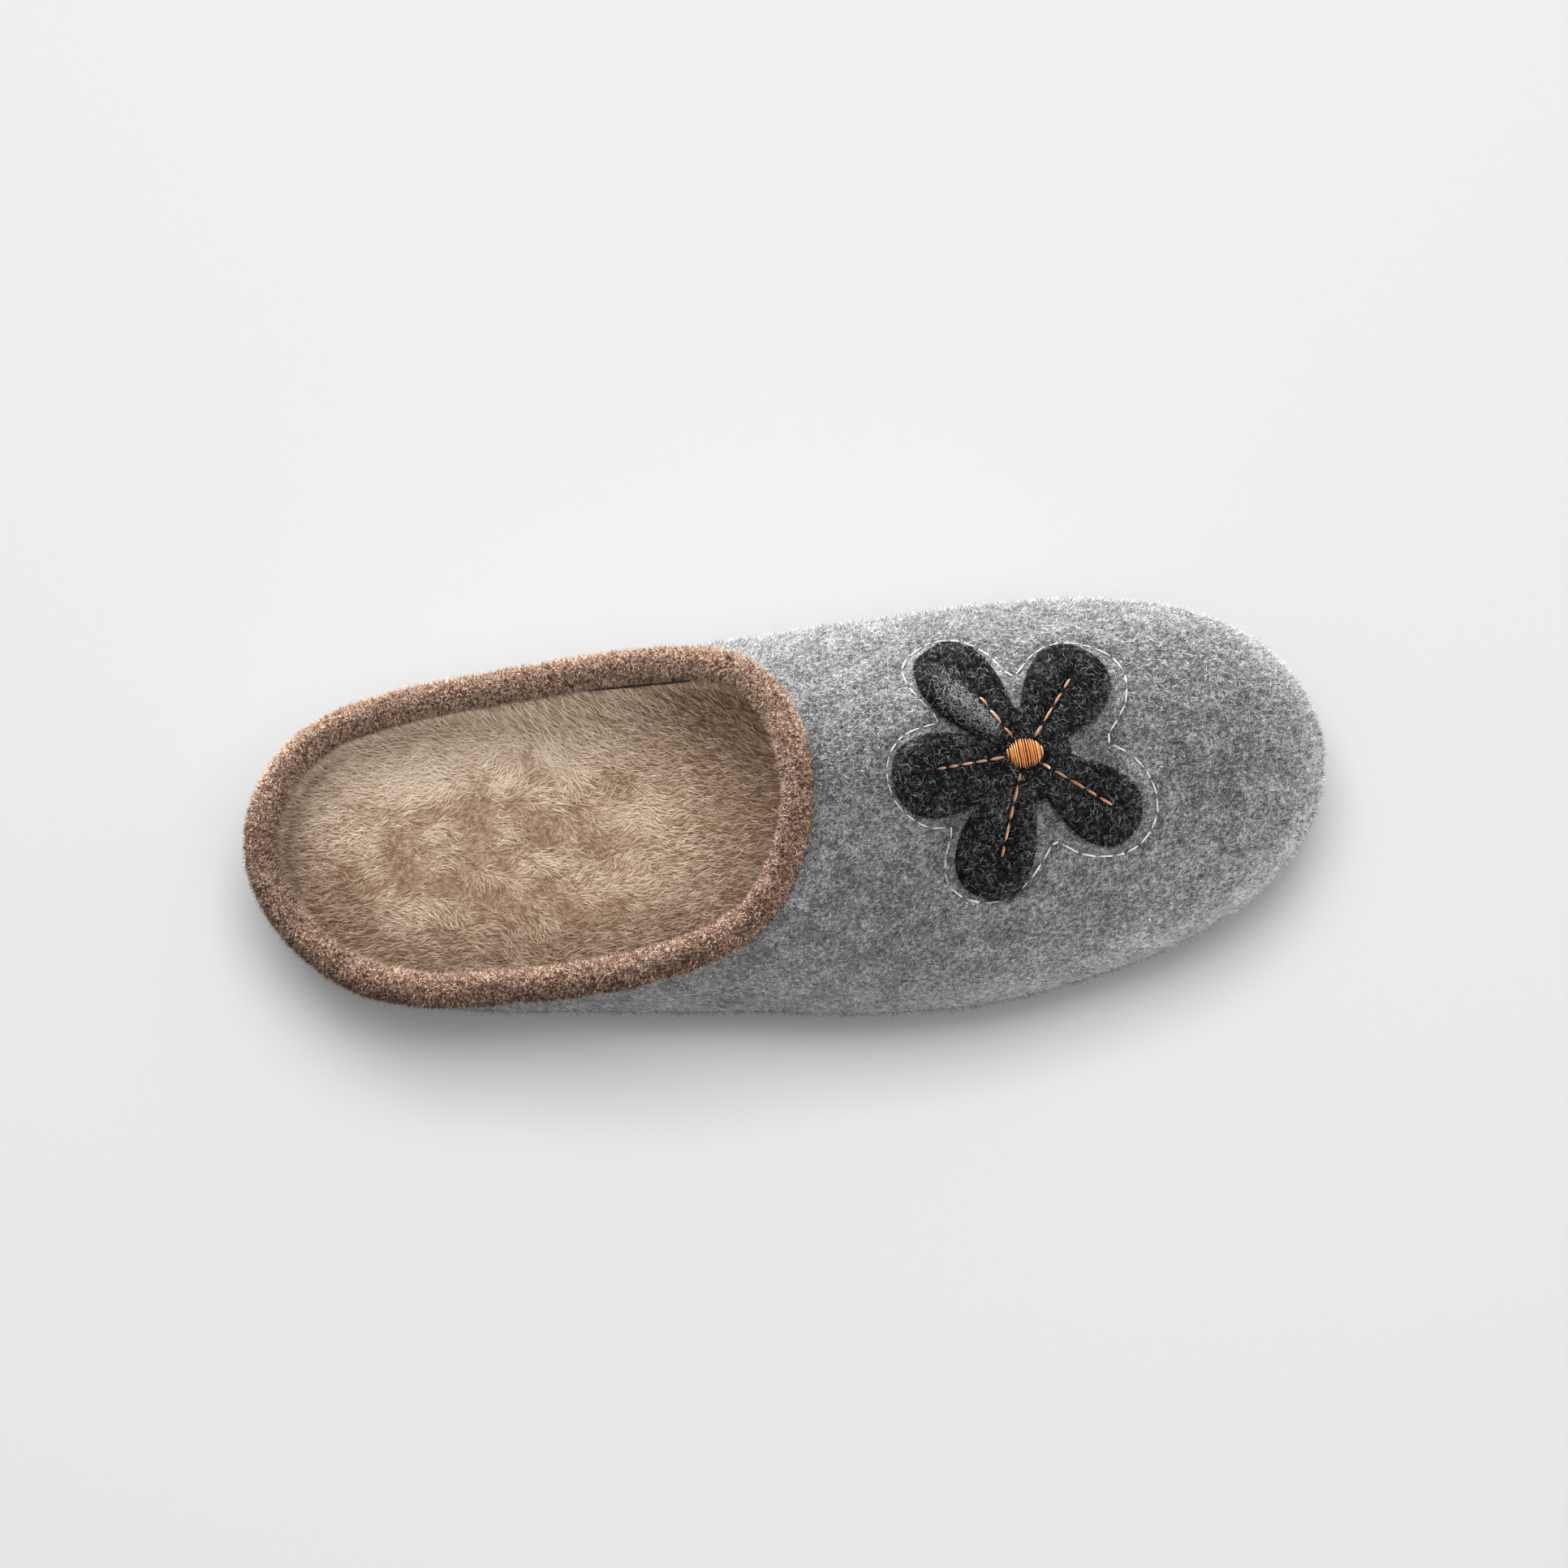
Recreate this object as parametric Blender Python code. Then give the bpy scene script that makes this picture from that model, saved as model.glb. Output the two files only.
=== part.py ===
"""Felt mule slipper for the right foot, standing on its sole.

Six pieces: outsole, insole, upper, collar_binding, flower_applique and flower_centre.
Metres, +Z up, +X towards the toe, +Y towards the inner side of the foot.
The origin is on the floor, in the middle of the slipper's box.

The upper is a felt shell drawn over a last. Each row of LAST is one ray of it, a section that runs from
under the foot, round the side and up to the collar. Smooth closed curves join the rays.
"""

import math
from typing import NamedTuple

import bmesh
import bpy
import numpy as np
from mathutils import Vector
from mathutils.bvhtree import BVHTree

# Driving sizes
LENGTH = 0.264
BALL_WIDTH = 0.098
HEEL_HEIGHT = 0.033
INSTEP_HEIGHT = 0.066
GAP = 0.0003

# Felt shell
WALL = 0.003
WIDEST_HEIGHT = 0.019
TUCK = 0.006
LASTING_MARGIN = 0.011
RISE_SHARE = 0.52
REACH_SHARE = 0.50
DROP_SHARE = 0.38

# Sole and footbed
SOLE_THICKNESS = 0.006
SOLE_INSET = 0.0045
SOLE_ROUNDING = 0.0025
TOE_SPRING = 0.008
TOE_BEND_ALONG = 0.17
ARCH_RELIEF = 0.0015
ARCH_ALONG = (-0.20, 0.03)
INSOLE_THICKNESS = 0.005
INSOLE_LEVELS = (0.02, 0.45, 1.0)
INSOLE_CUP = 0.003
CUP_POWER = 4
CUP_TAPER = 0.10
INSOLE_CLEARANCE = 0.0007

# Collar roll
ROLL_RADIUS = 0.0039
SLOT_DEPTH = 0.0033

# Flower
FLOWER_ALONG = 0.0575
FLOWER_ACROSS = 0.0070
FLOWER_FELT = 0.0018
FLOWER_HUB = 0.0110
PETAL_EDGE_POWER = 2.6
PETAL_TIP_POWER = 2.2
PETAL_JOIN_POWER = 9
PETAL_RINGS = (0.3, 0.6, 0.85, 0.95, 1.0)
PETAL_RIM_SHARE = 0.55
CURL_HEIGHT = 0.0020
CURL_START = 0.3
CURL_REACH = 0.4
CENTRE_LENGTH = 0.0088
CENTRE_WIDTH = 0.0074
CENTRE_HEIGHT = 0.0014
CENTRE_RINGS = (0.4, 0.75, 1.0)
CENTRE_EDGE_SHARE = 0.25

# Mesh density
AROUND = 80
CROWN_STEPS = 11
CORNER_STEPS = 3
STATIONS = 26
ACROSS = 8
ROLL_STEPS = 12
PETAL_STEPS = 110
CENTRE_STEPS = 24
FINE_AROUND = 240
FINE_STEPS = 60
FINE_CORNER_STEPS = 24
NUDGE = 1e-4
CROWN_NUDGE = 1e-3
SHARP_DEGREES = 50


class Ray(NamedTuple):
    """One section of the last. Along is a share of LENGTH, across a share of BALL_WIDTH, from the middle;
    rise is 0 at the heel's height and 1 at the instep's."""

    place: str
    edge_along: float
    edge_across: float
    collar_along: float
    collar_across: float
    rise: float


LAST = (
    Ray("heel back", -0.4950, 0.018, -0.4885, 0.020, 0.00),
    Ray("heel corner, outer", -0.4650, -0.222, -0.4610, -0.214, 0.00),
    Ray("heel side, outer", -0.4000, -0.360, -0.3925, -0.366, 0.03),
    Ray("waist, outer", -0.2670, -0.433, -0.2660, -0.411, 0.14),
    Ray("side, outer", -0.1440, -0.457, -0.1525, -0.399, 0.35),
    Ray("throat side, outer", -0.0230, -0.478, -0.0720, -0.349, 0.57),
    Ray("throat corner, outer", 0.1210, -0.499, -0.0240, -0.268, 0.74),
    Ray("throat front, outer", 0.2840, -0.432, 0.0030, -0.141, 0.90),
    Ray("toe corner, outer", 0.4360, -0.247, 0.0125, -0.043, 0.975),
    Ray("toe tip", 0.5000, 0.036, 0.0150, 0.036, 1.00),
    Ray("toe corner, inner", 0.4600, 0.341, 0.0115, 0.109, 0.98),
    Ray("throat front, inner", 0.3330, 0.494, 0.0040, 0.193, 0.92),
    Ray("throat corner, inner", 0.1700, 0.498, -0.0210, 0.298, 0.79),
    Ray("throat side, inner", 0.0110, 0.459, -0.0590, 0.358, 0.62),
    Ray("side, inner", -0.1250, 0.425, -0.1360, 0.380, 0.39),
    Ray("waist, inner", -0.2500, 0.400, -0.2495, 0.363, 0.17),
    Ray("heel side, inner", -0.3670, 0.362, -0.3650, 0.327, 0.04),
    Ray("heel corner, inner", -0.4540, 0.243, -0.4450, 0.237, 0.00),
)


class Petal(NamedTuple):
    """One lobe of the flower in plan: the way it points, its reach and the half angle it spreads over."""

    degrees: float
    reach: float
    spread: float
    curl: float


PETALS = (
    Petal(129.5, 0.0345, 28.5, 1.0),
    Petal(55.5, 0.0303, 36.5, 0.0),
    Petal(-35.6, 0.0314, 31.0, 0.0),
    Petal(-110.5, 0.0350, 28.5, 0.0),
    Petal(-169.0, 0.0325, 33.0, 0.0),
)


class Finish(NamedTuple):
    """Colour, roughness and metallic value of a piece's material."""

    colour: tuple
    roughness: float
    metallic: float


FINISHES = {
    "outsole": Finish((0.055, 0.052, 0.050), 0.75, 0.0),
    "insole": Finish((0.480, 0.340, 0.220), 0.95, 0.0),
    "upper": Finish((0.300, 0.300, 0.305), 0.95, 0.0),
    "collar_binding": Finish((0.215, 0.115, 0.075), 0.95, 0.0),
    "flower_applique": Finish((0.018, 0.018, 0.020), 0.95, 0.0),
    "flower_centre": Finish((0.640, 0.260, 0.060), 0.60, 0.0),
}


def clear_scene():
    for item in list(bpy.data.objects):
        bpy.data.objects.remove(item)


def unit(vectors):
    return vectors / np.linalg.norm(vectors, axis=-1, keepdims=True)


class ClosedSpline:
    """A smooth closed curve with one given value at each knot."""

    def __init__(self, knots, period, values):
        self.knots, self.period = np.asarray(knots), period
        self.values = np.asarray(values, float)
        count = len(self.knots)
        self.steps = np.diff(np.append(self.knots, self.knots[0] + period))
        system = np.zeros((count, count))
        pull = np.zeros_like(self.values)
        for here in range(count):
            before, after = here - 1, (here + 1) % count
            back, ahead = self.steps[before], self.steps[here]
            system[here, before] += 1 / back
            system[here, here] += 2 / back + 2 / ahead
            system[here, after] += 1 / ahead
            pull[here] = 3 * (self.values[here] - self.values[before]) / back**2
            pull[here] += 3 * (self.values[after] - self.values[here]) / ahead**2
        self.slopes = np.linalg.solve(system, pull)

    def __call__(self, places):
        places = np.mod(np.asarray(places), self.period)
        here = np.searchsorted(self.knots, places, side="right") - 1
        after = (here + 1) % len(self.knots)
        step = self.steps[here][:, None]
        t = (places - self.knots[here])[:, None] / step
        start = (2 * t**3 - 3 * t**2 + 1) * self.values[here]
        start += (t**3 - 2 * t**2 + t) * step * self.slopes[here]
        end = (3 * t**2 - 2 * t**3) * self.values[after]
        end += (t**3 - t**2) * step * self.slopes[after]
        return start + end


def last_curves():
    """Edge and collar of the last as closed curves, with the same knots."""
    edge = np.array([(ray.edge_along * LENGTH, ray.edge_across * BALL_WIDTH) for ray in LAST])
    heights = [HEEL_HEIGHT + ray.rise * (INSTEP_HEIGHT - HEEL_HEIGHT) for ray in LAST]
    collar = np.array([(ray.collar_along * LENGTH, ray.collar_across * BALL_WIDTH) for ray in LAST])
    collar = np.column_stack([collar, heights])
    chords = np.linalg.norm(np.roll(edge, -1, 0) - edge, axis=1)
    chords += np.linalg.norm(np.roll(collar, -1, 0) - collar, axis=1)
    knots = np.concatenate([[0], np.cumsum(chords)])
    return ClosedSpline(knots[:-1], knots[-1], edge), ClosedSpline(knots[:-1], knots[-1], collar)


EDGE, COLLAR = last_curves()


def around(count):
    """Evenly spaced places round the last."""
    return np.arange(count) * EDGE.period / count


def smooth(share):
    share = np.clip(share, 0, 1)
    return share * share * (3 - 2 * share)


def sole_bottom(along):
    """Underside of the sole: flat heel and forefoot, a low arch between, and toe spring."""
    bend = np.clip((along / LENGTH - TOE_BEND_ALONG) / (0.5 - TOE_BEND_ALONG), 0, 1)
    arch = np.clip((along / LENGTH - ARCH_ALONG[0]) / (ARCH_ALONG[1] - ARCH_ALONG[0]), 0, 1)
    return TOE_SPRING * bend**2 + ARCH_RELIEF * np.sin(math.pi * arch) ** 2


def sole_top(along):
    bend = np.clip((along / LENGTH - TOE_BEND_ALONG) / (0.5 - TOE_BEND_ALONG), 0, 1)
    return SOLE_THICKNESS + TOE_SPRING * bend**2


def inward_of_edge(places):
    """Unit vectors in plan, square to the edge and towards the foot."""
    nudge = EDGE.period * NUDGE
    run = unit(EDGE(places + nudge) - EDGE(places - nudge))
    return np.column_stack([-run[:, 1], run[:, 0]])


def under_row(places, inset):
    """A row of the lasting margin, flat on the sole."""
    plan = EDGE(places) + inward_of_edge(places) * inset
    return np.column_stack([plan, sole_top(plan[:, 0]) + GAP])


def corner_row(places, turn):
    """A row of the rounded corner, from the feather edge at turn 0 to the widest line at a quarter turn."""
    plan = EDGE(places) + inward_of_edge(places) * TUCK * (1 - math.sin(turn))
    foot = under_row(places, TUCK)[:, 2]
    widest = widest_height(places)
    return np.column_stack([plan, foot + (widest - foot) * (1 - math.cos(turn))])


def widest_height(places):
    return WIDEST_HEIGHT + sole_top(EDGE(places)[:, 0]) - SOLE_THICKNESS


def crown_row(places, t):
    """A row between the widest line, at t 0, and the collar, at t 1: each ray leaves the side upright
    and comes to the collar along the slope of the instep."""
    edge, collar = EDGE(places), COLLAR(places)
    start = np.column_stack([edge, widest_height(places)])
    climb = (collar[:, 2] - start[:, 2])[:, None]
    up = np.array([[0.0, 0.0, 1.0]])
    lift = start + up * climb * RISE_SHARE
    approach = collar + (start - collar) * np.array([REACH_SHARE, REACH_SHARE, 0]) - up * climb * DROP_SHARE
    return (1 - t) ** 3 * start + 3 * (1 - t) ** 2 * t * lift + 3 * (1 - t) * t**2 * approach + t**3 * collar


def shell_rows(places, crown_steps, corner_steps):
    """Rows of the upper's outer face, from the lasting margin's inner edge to the collar."""
    rows = [under_row(places, TUCK + LASTING_MARGIN), under_row(places, TUCK + LASTING_MARGIN / 2)]
    rows += [corner_row(places, math.pi / 2 * step / corner_steps) for step in range(corner_steps)]
    rows += [crown_row(places, step / crown_steps) for step in range(crown_steps + 1)]
    return np.array(rows)


def outward_of(rows):
    """Unit normals of a grid of rows, pointing out of the shoe."""
    run = np.roll(rows, -1, 1) - np.roll(rows, 1, 1)
    climb = np.gradient(rows, axis=0)
    return unit(np.cross(run, climb))


def add_object(name, points, faces):
    """A closed mesh object with its own material, smooth apart from sharp edges."""
    mesh = bpy.data.meshes.new(name)
    mesh.from_pydata([tuple(map(float, point)) for point in points], [], faces)
    shape = bmesh.new()
    shape.from_mesh(mesh)
    bmesh.ops.recalc_face_normals(shape, faces=shape.faces)
    shape.to_mesh(mesh)
    shape.free()
    mesh.shade_smooth()
    mesh.set_sharp_from_angle(angle=math.radians(SHARP_DEGREES))
    material = bpy.data.materials.new(name)
    material.use_nodes = True
    surface = material.node_tree.nodes["Principled BSDF"]
    finish = FINISHES[name]
    surface.inputs["Base Color"].default_value = (*finish.colour, 1)
    surface.inputs["Roughness"].default_value = finish.roughness
    surface.inputs["Metallic"].default_value = finish.metallic
    mesh.materials.append(material)
    item = bpy.data.objects.new(name, mesh)
    bpy.context.scene.collection.objects.link(item)
    return item


def ring_solid(name, rows):
    """A closed solid from rows that run round the shoe and follow each other round a section."""
    count, size = len(rows), len(rows[0])
    faces = []
    for row in range(count):
        above = (row + 1) % count
        for place in range(size):
            ahead = (place + 1) % size
            faces.append((row * size + place, row * size + ahead, above * size + ahead, above * size + place))
    return add_object(name, np.concatenate(rows), faces)


def make_upper():
    """The felt shell: outer face, collar edge, inner face and lasting edge."""
    rows = shell_rows(around(AROUND), CROWN_STEPS, CORNER_STEPS)
    inner = rows - outward_of(rows) * WALL
    return ring_solid("upper", [*rows, *inner[::-1]])


def paired_loop(points):
    """A closed loop read at stations along the shoe: heel tip, outer side, toe tip, inner side."""
    heel, toe = points[:, 0].argmin(), points[:, 0].argmax()
    turned = np.roll(points, -heel, 0)
    toe = (toe - heel) % len(points)
    outer, inner = turned[: toe + 1], np.vstack([turned[toe:], turned[:1]])[::-1]
    shares = (1 - np.cos(np.linspace(0, math.pi, STATIONS + 1))) / 2
    along = outer[0, 0] + (outer[-1, 0] - outer[0, 0]) * shares

    def side(line):
        order = np.argsort(line[:, 0])
        return np.column_stack([np.interp(along, line[order, 0], line[order, axis]) for axis in range(3)])

    return np.vstack([side(outer), side(inner)[1:-1][::-1]])


def cap_points(loop, height):
    """Points across a paired loop, a row of them for each station between the tips."""
    size = len(loop)
    points = []
    for station in range(1, STATIONS):
        outer, inner = loop[station], loop[size - station]
        for column in range(1, ACROSS):
            share = column / ACROSS
            point = outer + (inner - outer) * share
            points.append((point[0], point[1], height(point[0], share)))
    return points


def cap_faces(first, size, inside):
    """Faces of a cap: first is the loop's own first point, and inside the first point across it."""

    def corner(station, column):
        if station in (0, STATIONS) or column == 0:
            return first + station
        if column == ACROSS:
            return first + size - station
        return inside + (station - 1) * (ACROSS - 1) + column - 1

    faces = []
    for station in range(STATIONS):
        for column in range(ACROSS):
            face = [corner(station, column), corner(station + 1, column)]
            face += [corner(station + 1, column + 1), corner(station, column + 1)]
            faces.append(tuple(dict.fromkeys(face)))
    return faces


def slab(name, loops, underside, topside):
    """A closed plate from loops that climb its side, with a cap under it and a cap on it."""
    loops = [paired_loop(loop) for loop in loops]
    size, count = len(loops[0]), len(loops)
    points = list(np.concatenate(loops))
    faces = []
    for level in range(count - 1):
        for place in range(size):
            ahead = (place + 1) % size
            low, high = level * size, (level + 1) * size
            faces.append((low + place, low + ahead, high + ahead, high + place))
    faces += cap_faces(0, size, len(points))
    points += cap_points(loops[0], underside)
    faces += cap_faces((count - 1) * size, size, len(points))
    points += cap_points(loops[-1], topside)
    return add_object(name, points, faces)


def edge_loop(inset, height):
    """A fine loop inside the last's edge, at a height that follows the sole."""
    places = around(FINE_AROUND)
    plan = EDGE(places) + inward_of_edge(places) * inset
    return np.column_stack([plan, height(plan[:, 0])])


def make_outsole():
    """A plain sole with a rounded lower edge, set in under the felt."""

    def lower(inset, lift):
        return edge_loop(inset, lambda along: sole_bottom(along) + lift)

    def underside(along, share):
        return sole_bottom(along)

    def topside(along, share):
        return sole_top(along)

    half_turn = SOLE_ROUNDING * (1 - math.sqrt(0.5))
    loops = [
        lower(SOLE_INSET + SOLE_ROUNDING, 0),
        lower(SOLE_INSET + half_turn, half_turn),
        lower(SOLE_INSET, SOLE_ROUNDING),
        edge_loop(SOLE_INSET, sole_top),
    ]
    return slab("outsole", loops, underside, topside)


def lining_level(lining, heights, height):
    """The loop on the lining where it is this high over the sole."""
    loop = np.empty((lining.shape[1], 3))
    for place in range(lining.shape[1]):
        column = heights[:, place]
        above = int(np.argmax(column >= height))
        low, high = column[above - 1], column[above]
        share = (height - low) / (high - low)
        loop[place] = lining[above - 1, place] * (1 - share) + lining[above, place] * share
    return loop


def make_insole():
    """The footbed: it stands on the sole inside the lasting margin, lies on that margin and fills the
    upper from side to side. Its top is cupped."""
    rows = shell_rows(around(FINE_AROUND), FINE_STEPS, FINE_CORNER_STEPS)
    lining = rows - outward_of(rows) * (WALL + INSOLE_CLEARANCE)
    heights = lining[:, :, 2] - sole_top(lining[:, :, 0])
    margin_top = WALL + INSOLE_CLEARANCE + GAP
    inside = TUCK + LASTING_MARGIN + INSOLE_CLEARANCE
    step = edge_loop(inside, lambda along: sole_top(along) + GAP)
    shelf = edge_loop(inside, lambda along: sole_top(along) + margin_top)
    levels = [lining_level(lining, heights, margin_top + INSOLE_THICKNESS * share) for share in INSOLE_LEVELS]

    def underside(along, share):
        return sole_top(along) + GAP

    def topside(along, share):
        across = 1 - (2 * share - 1) ** CUP_POWER
        taper = smooth((0.5 - abs(along) / LENGTH) / CUP_TAPER)
        return sole_top(along) + margin_top + INSOLE_THICKNESS - INSOLE_CUP * across * taper

    return slab("insole", [step, shelf, *levels], underside, topside)


def crown_normals(places, t):
    """Unit normals of the crown at one t for each ray, pointing out of the shoe."""
    nudge = EDGE.period * NUDGE
    run = crown_row(places + nudge, t) - crown_row(places - nudge, t)
    return unit(np.cross(run, crown_row(places, t) - crown_row(places, t - CROWN_NUDGE)))


def make_collar_binding():
    """The felt roll: a round section, slit from below to take the collar's edge."""
    places = around(AROUND)
    top = np.ones((AROUND, 1))
    edge, out = crown_row(places, top), crown_normals(places, top)
    slope = (edge - crown_row(places, top - CROWN_NUDGE)) / CROWN_NUDGE
    foot = top - SLOT_DEPTH / np.linalg.norm(slope, axis=1, keepdims=True)
    felt, felt_out = crown_row(places, foot), crown_normals(places, foot)
    up = unit(slope)
    middle = edge - out * WALL / 2
    slot_half = WALL / 2 + GAP
    opening = math.acos(slot_half / ROLL_RADIUS)
    section = []
    for step in range(ROLL_STEPS + 1):
        turn = -opening + (math.pi + 2 * opening) * step / ROLL_STEPS
        section.append(middle + ROLL_RADIUS * (math.cos(turn) * out + math.sin(turn) * up))
    section[0] = felt + felt_out * GAP
    section[-1] = felt - felt_out * (WALL + GAP)
    section.append(middle - out * slot_half + up * GAP)
    section.append(middle + out * slot_half + up * GAP)
    return ring_solid("collar_binding", section)


def vamp_surface():
    """The upper's outer face as a fine surface to lay the flower on."""
    rows = shell_rows(around(FINE_AROUND), FINE_STEPS, CORNER_STEPS)
    count, size = rows.shape[:2]
    faces = []
    for row in range(count - 1):
        for place in range(size):
            ahead = (place + 1) % size
            low, high = row * size, (row + 1) * size
            faces.append((low + place, low + ahead, high + ahead, high + place))
    return BVHTree.FromPolygons([Vector(point) for point in rows.reshape(-1, 3)], faces)


def on_vamp(surface, plan, lift):
    """The point over this place in plan, lifted off the felt along the felt's own normal."""
    above = Vector((plan[0], plan[1], 2 * INSTEP_HEIGHT))
    hit, normal, _, _ = surface.ray_cast(above, Vector((0, 0, -1)))
    if normal.z < 0:
        normal = -normal
    return hit + normal * lift


def petal_radius(angle):
    """Reach of the flower's outline from its middle."""
    total = FLOWER_HUB**PETAL_JOIN_POWER
    for petal in PETALS:
        off = math.remainder(angle - math.radians(petal.degrees), 2 * math.pi)
        if abs(off) < math.radians(petal.spread):
            side = math.sin(abs(off)) / math.sin(math.radians(petal.spread))
            total += (petal.reach * (1 - side**PETAL_EDGE_POWER) ** (1 / PETAL_TIP_POWER)) ** PETAL_JOIN_POWER
    return total ** (1 / PETAL_JOIN_POWER)


def petal_curl(angle, share):
    """How far the felt stands off the vamp: one half of a curled petal bows up from its midline."""
    lift = 0.0
    for petal in PETALS:
        off = math.remainder(angle - math.radians(petal.degrees), 2 * math.pi) / math.radians(petal.spread)
        if 0 < off < 1:
            along = float(smooth((share - CURL_START) / CURL_REACH))
            lift += petal.curl * CURL_HEIGHT * math.sin(math.pi * off) ** 2 * along
    return lift


def polar_solid(name, surface, radius, low, high, steps, shares):
    """A closed plate laid on the vamp: low and high give its two faces' lift by angle and share of radius."""
    angles = [2 * math.pi * step / steps for step in range(steps)]
    points, faces = [], []
    for lift in (low, high):
        points.append(on_vamp(surface, (FLOWER_ALONG, FLOWER_ACROSS), lift(0, 0)))
        for share in shares:
            for angle in angles:
                reach = radius(angle) * share
                plan = (FLOWER_ALONG + reach * math.cos(angle), FLOWER_ACROSS + reach * math.sin(angle))
                points.append(on_vamp(surface, plan, lift(angle, share)))
    layer = 1 + len(shares) * steps
    for start in (0, layer):
        for step in range(steps):
            ahead = (step + 1) % steps
            faces.append((start, start + 1 + step, start + 1 + ahead))
            for ring in range(len(shares) - 1):
                near, far = start + 1 + ring * steps, start + 1 + (ring + 1) * steps
                faces.append((near + step, far + step, far + ahead, near + ahead))
    rim = layer - steps
    for step in range(steps):
        ahead = (step + 1) % steps
        faces.append((rim + step, rim + ahead, layer + rim + ahead, layer + rim + step))
    return add_object(name, points, faces)


def make_flower(surface):
    """The felt flower, thinner at its rim."""

    def low(angle, share):
        return GAP + petal_curl(angle, share)

    def high(angle, share):
        return low(angle, share) + FLOWER_FELT * (PETAL_RIM_SHARE if share == PETAL_RINGS[-1] else 1)

    return polar_solid("flower_applique", surface, petal_radius, low, high, PETAL_STEPS, PETAL_RINGS)


def make_flower_centre(surface):
    """The low oval dome of the satin-stitched middle."""
    foot = 2 * GAP + FLOWER_FELT

    def radius(angle):
        return 0.5 / math.hypot(math.cos(angle) / CENTRE_LENGTH, math.sin(angle) / CENTRE_WIDTH)

    def low(angle, share):
        return foot

    def dome(angle, share):
        rise = CENTRE_EDGE_SHARE + (1 - CENTRE_EDGE_SHARE) * math.sqrt(1 - share**2)
        return foot + CENTRE_HEIGHT * rise

    return polar_solid("flower_centre", surface, radius, low, dome, CENTRE_STEPS, CENTRE_RINGS)


def main():
    clear_scene()
    make_outsole()
    make_insole()
    make_upper()
    make_collar_binding()
    surface = vamp_surface()
    make_flower(surface)
    make_flower_centre(surface)


main()
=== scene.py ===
"""Looks of the felt mule slipper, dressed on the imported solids.

Metres, +Z up, +X towards the toe, +Y towards the inner side of the foot.
Felt, roll and flower are smooth copies of their solids. Nap, pile and stitches are Geometry Nodes on them.
"""

import math
from contextlib import contextmanager
from functools import reduce
from typing import NamedTuple

import bmesh
import bpy
import numpy as np
from mathutils import Matrix, Vector, noise
from mathutils.bvhtree import BVHTree


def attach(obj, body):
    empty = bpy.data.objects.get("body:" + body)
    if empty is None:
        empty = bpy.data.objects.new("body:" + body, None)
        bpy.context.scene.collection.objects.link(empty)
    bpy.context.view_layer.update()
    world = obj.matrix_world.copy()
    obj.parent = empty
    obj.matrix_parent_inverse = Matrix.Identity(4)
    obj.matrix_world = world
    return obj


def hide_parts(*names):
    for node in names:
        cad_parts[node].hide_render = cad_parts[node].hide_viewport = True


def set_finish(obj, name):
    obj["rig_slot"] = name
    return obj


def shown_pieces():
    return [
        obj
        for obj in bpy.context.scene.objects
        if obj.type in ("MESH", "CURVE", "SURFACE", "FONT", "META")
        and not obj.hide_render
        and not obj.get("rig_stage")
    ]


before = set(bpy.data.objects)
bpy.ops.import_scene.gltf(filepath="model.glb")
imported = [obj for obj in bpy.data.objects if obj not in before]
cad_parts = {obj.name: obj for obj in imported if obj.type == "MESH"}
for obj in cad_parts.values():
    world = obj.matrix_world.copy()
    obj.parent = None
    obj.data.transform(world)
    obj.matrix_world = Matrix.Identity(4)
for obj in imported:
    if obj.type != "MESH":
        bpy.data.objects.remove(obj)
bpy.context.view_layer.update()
scene = bpy.context.scene

# Camera, as the photograph looks at the shoe
LOOK_AT = Vector((0.0, 0.0083, 0.025))
CAMERA_DISTANCE = 1.169
CAMERA_TILT = math.radians(9)
CAMERA_ROLL = math.radians(3.5)
LENS = 110

# Flower, with the solid's petals: the way each points in degrees, its reach, and the half angle of its spread
FLOWER = Vector((0.0575, 0.0070))
EDGE_POWER = 2.6
TIP_POWER = 2.2
JOIN_POWER = 9
PETAL_HUB = 0.0110
PETALS = (
    (129.5, 0.0345, 28.5),
    (55.5, 0.0303, 36.5),
    (-35.6, 0.0314, 31.0),
    (-110.5, 0.0350, 28.5),
    (-169.0, 0.0325, 33.0),
)

# White seam round the petals, laid by hand: degrees about the flower's middle, and reach in millimetres
SEAM_PLACES = (
    (0, 24.6), (4, 21.6), (8, 19.6), (12, 20.8), (17, 23.2), (21, 25.4), (25, 27.8), (30, 30.0),
    (36, 32.0), (42, 33.0), (48, 33.1), (55, 32.3), (63, 31.3), (70, 29.8), (77, 27.4), (82, 25.0),
    (86, 22.8), (90, 20.6), (94, 19.4), (98, 20.8), (102, 24.0), (107, 28.0), (112, 31.4), (118, 34.2),
    (125, 36.0), (132, 36.8), (138, 36.6), (143, 35.0), (147, 31.0), (150, 26.5), (153, 23.0),
    (156, 21.4), (160, 23.2), (165, 27.0), (170, 29.6), (176, 31.8), (183, 33.1), (190, 33.5),
    (197, 33.3), (203, 32.3), (210, 30.5), (215, 28.8), (219, 26.4), (222.5, 24.2), (225, 26.6),
    (228, 30.2), (232, 33.6), (236, 35.7), (241, 36.6), (247, 36.3), (253, 35.5), (258, 34.2),
    (264, 31.6), (270, 28.6), (275, 25.8), (279, 23.9), (283, 22.2), (286.5, 20.9), (290, 22.6),
    (293, 24.4), (297, 26.4), (302, 28.6), (307, 30.6), (312, 32.5), (317, 33.8), (323, 34.6),
    (329, 34.8), (335, 34.3), (341, 32.9), (347, 30.9), (352, 28.8), (356, 26.9),
)

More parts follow.
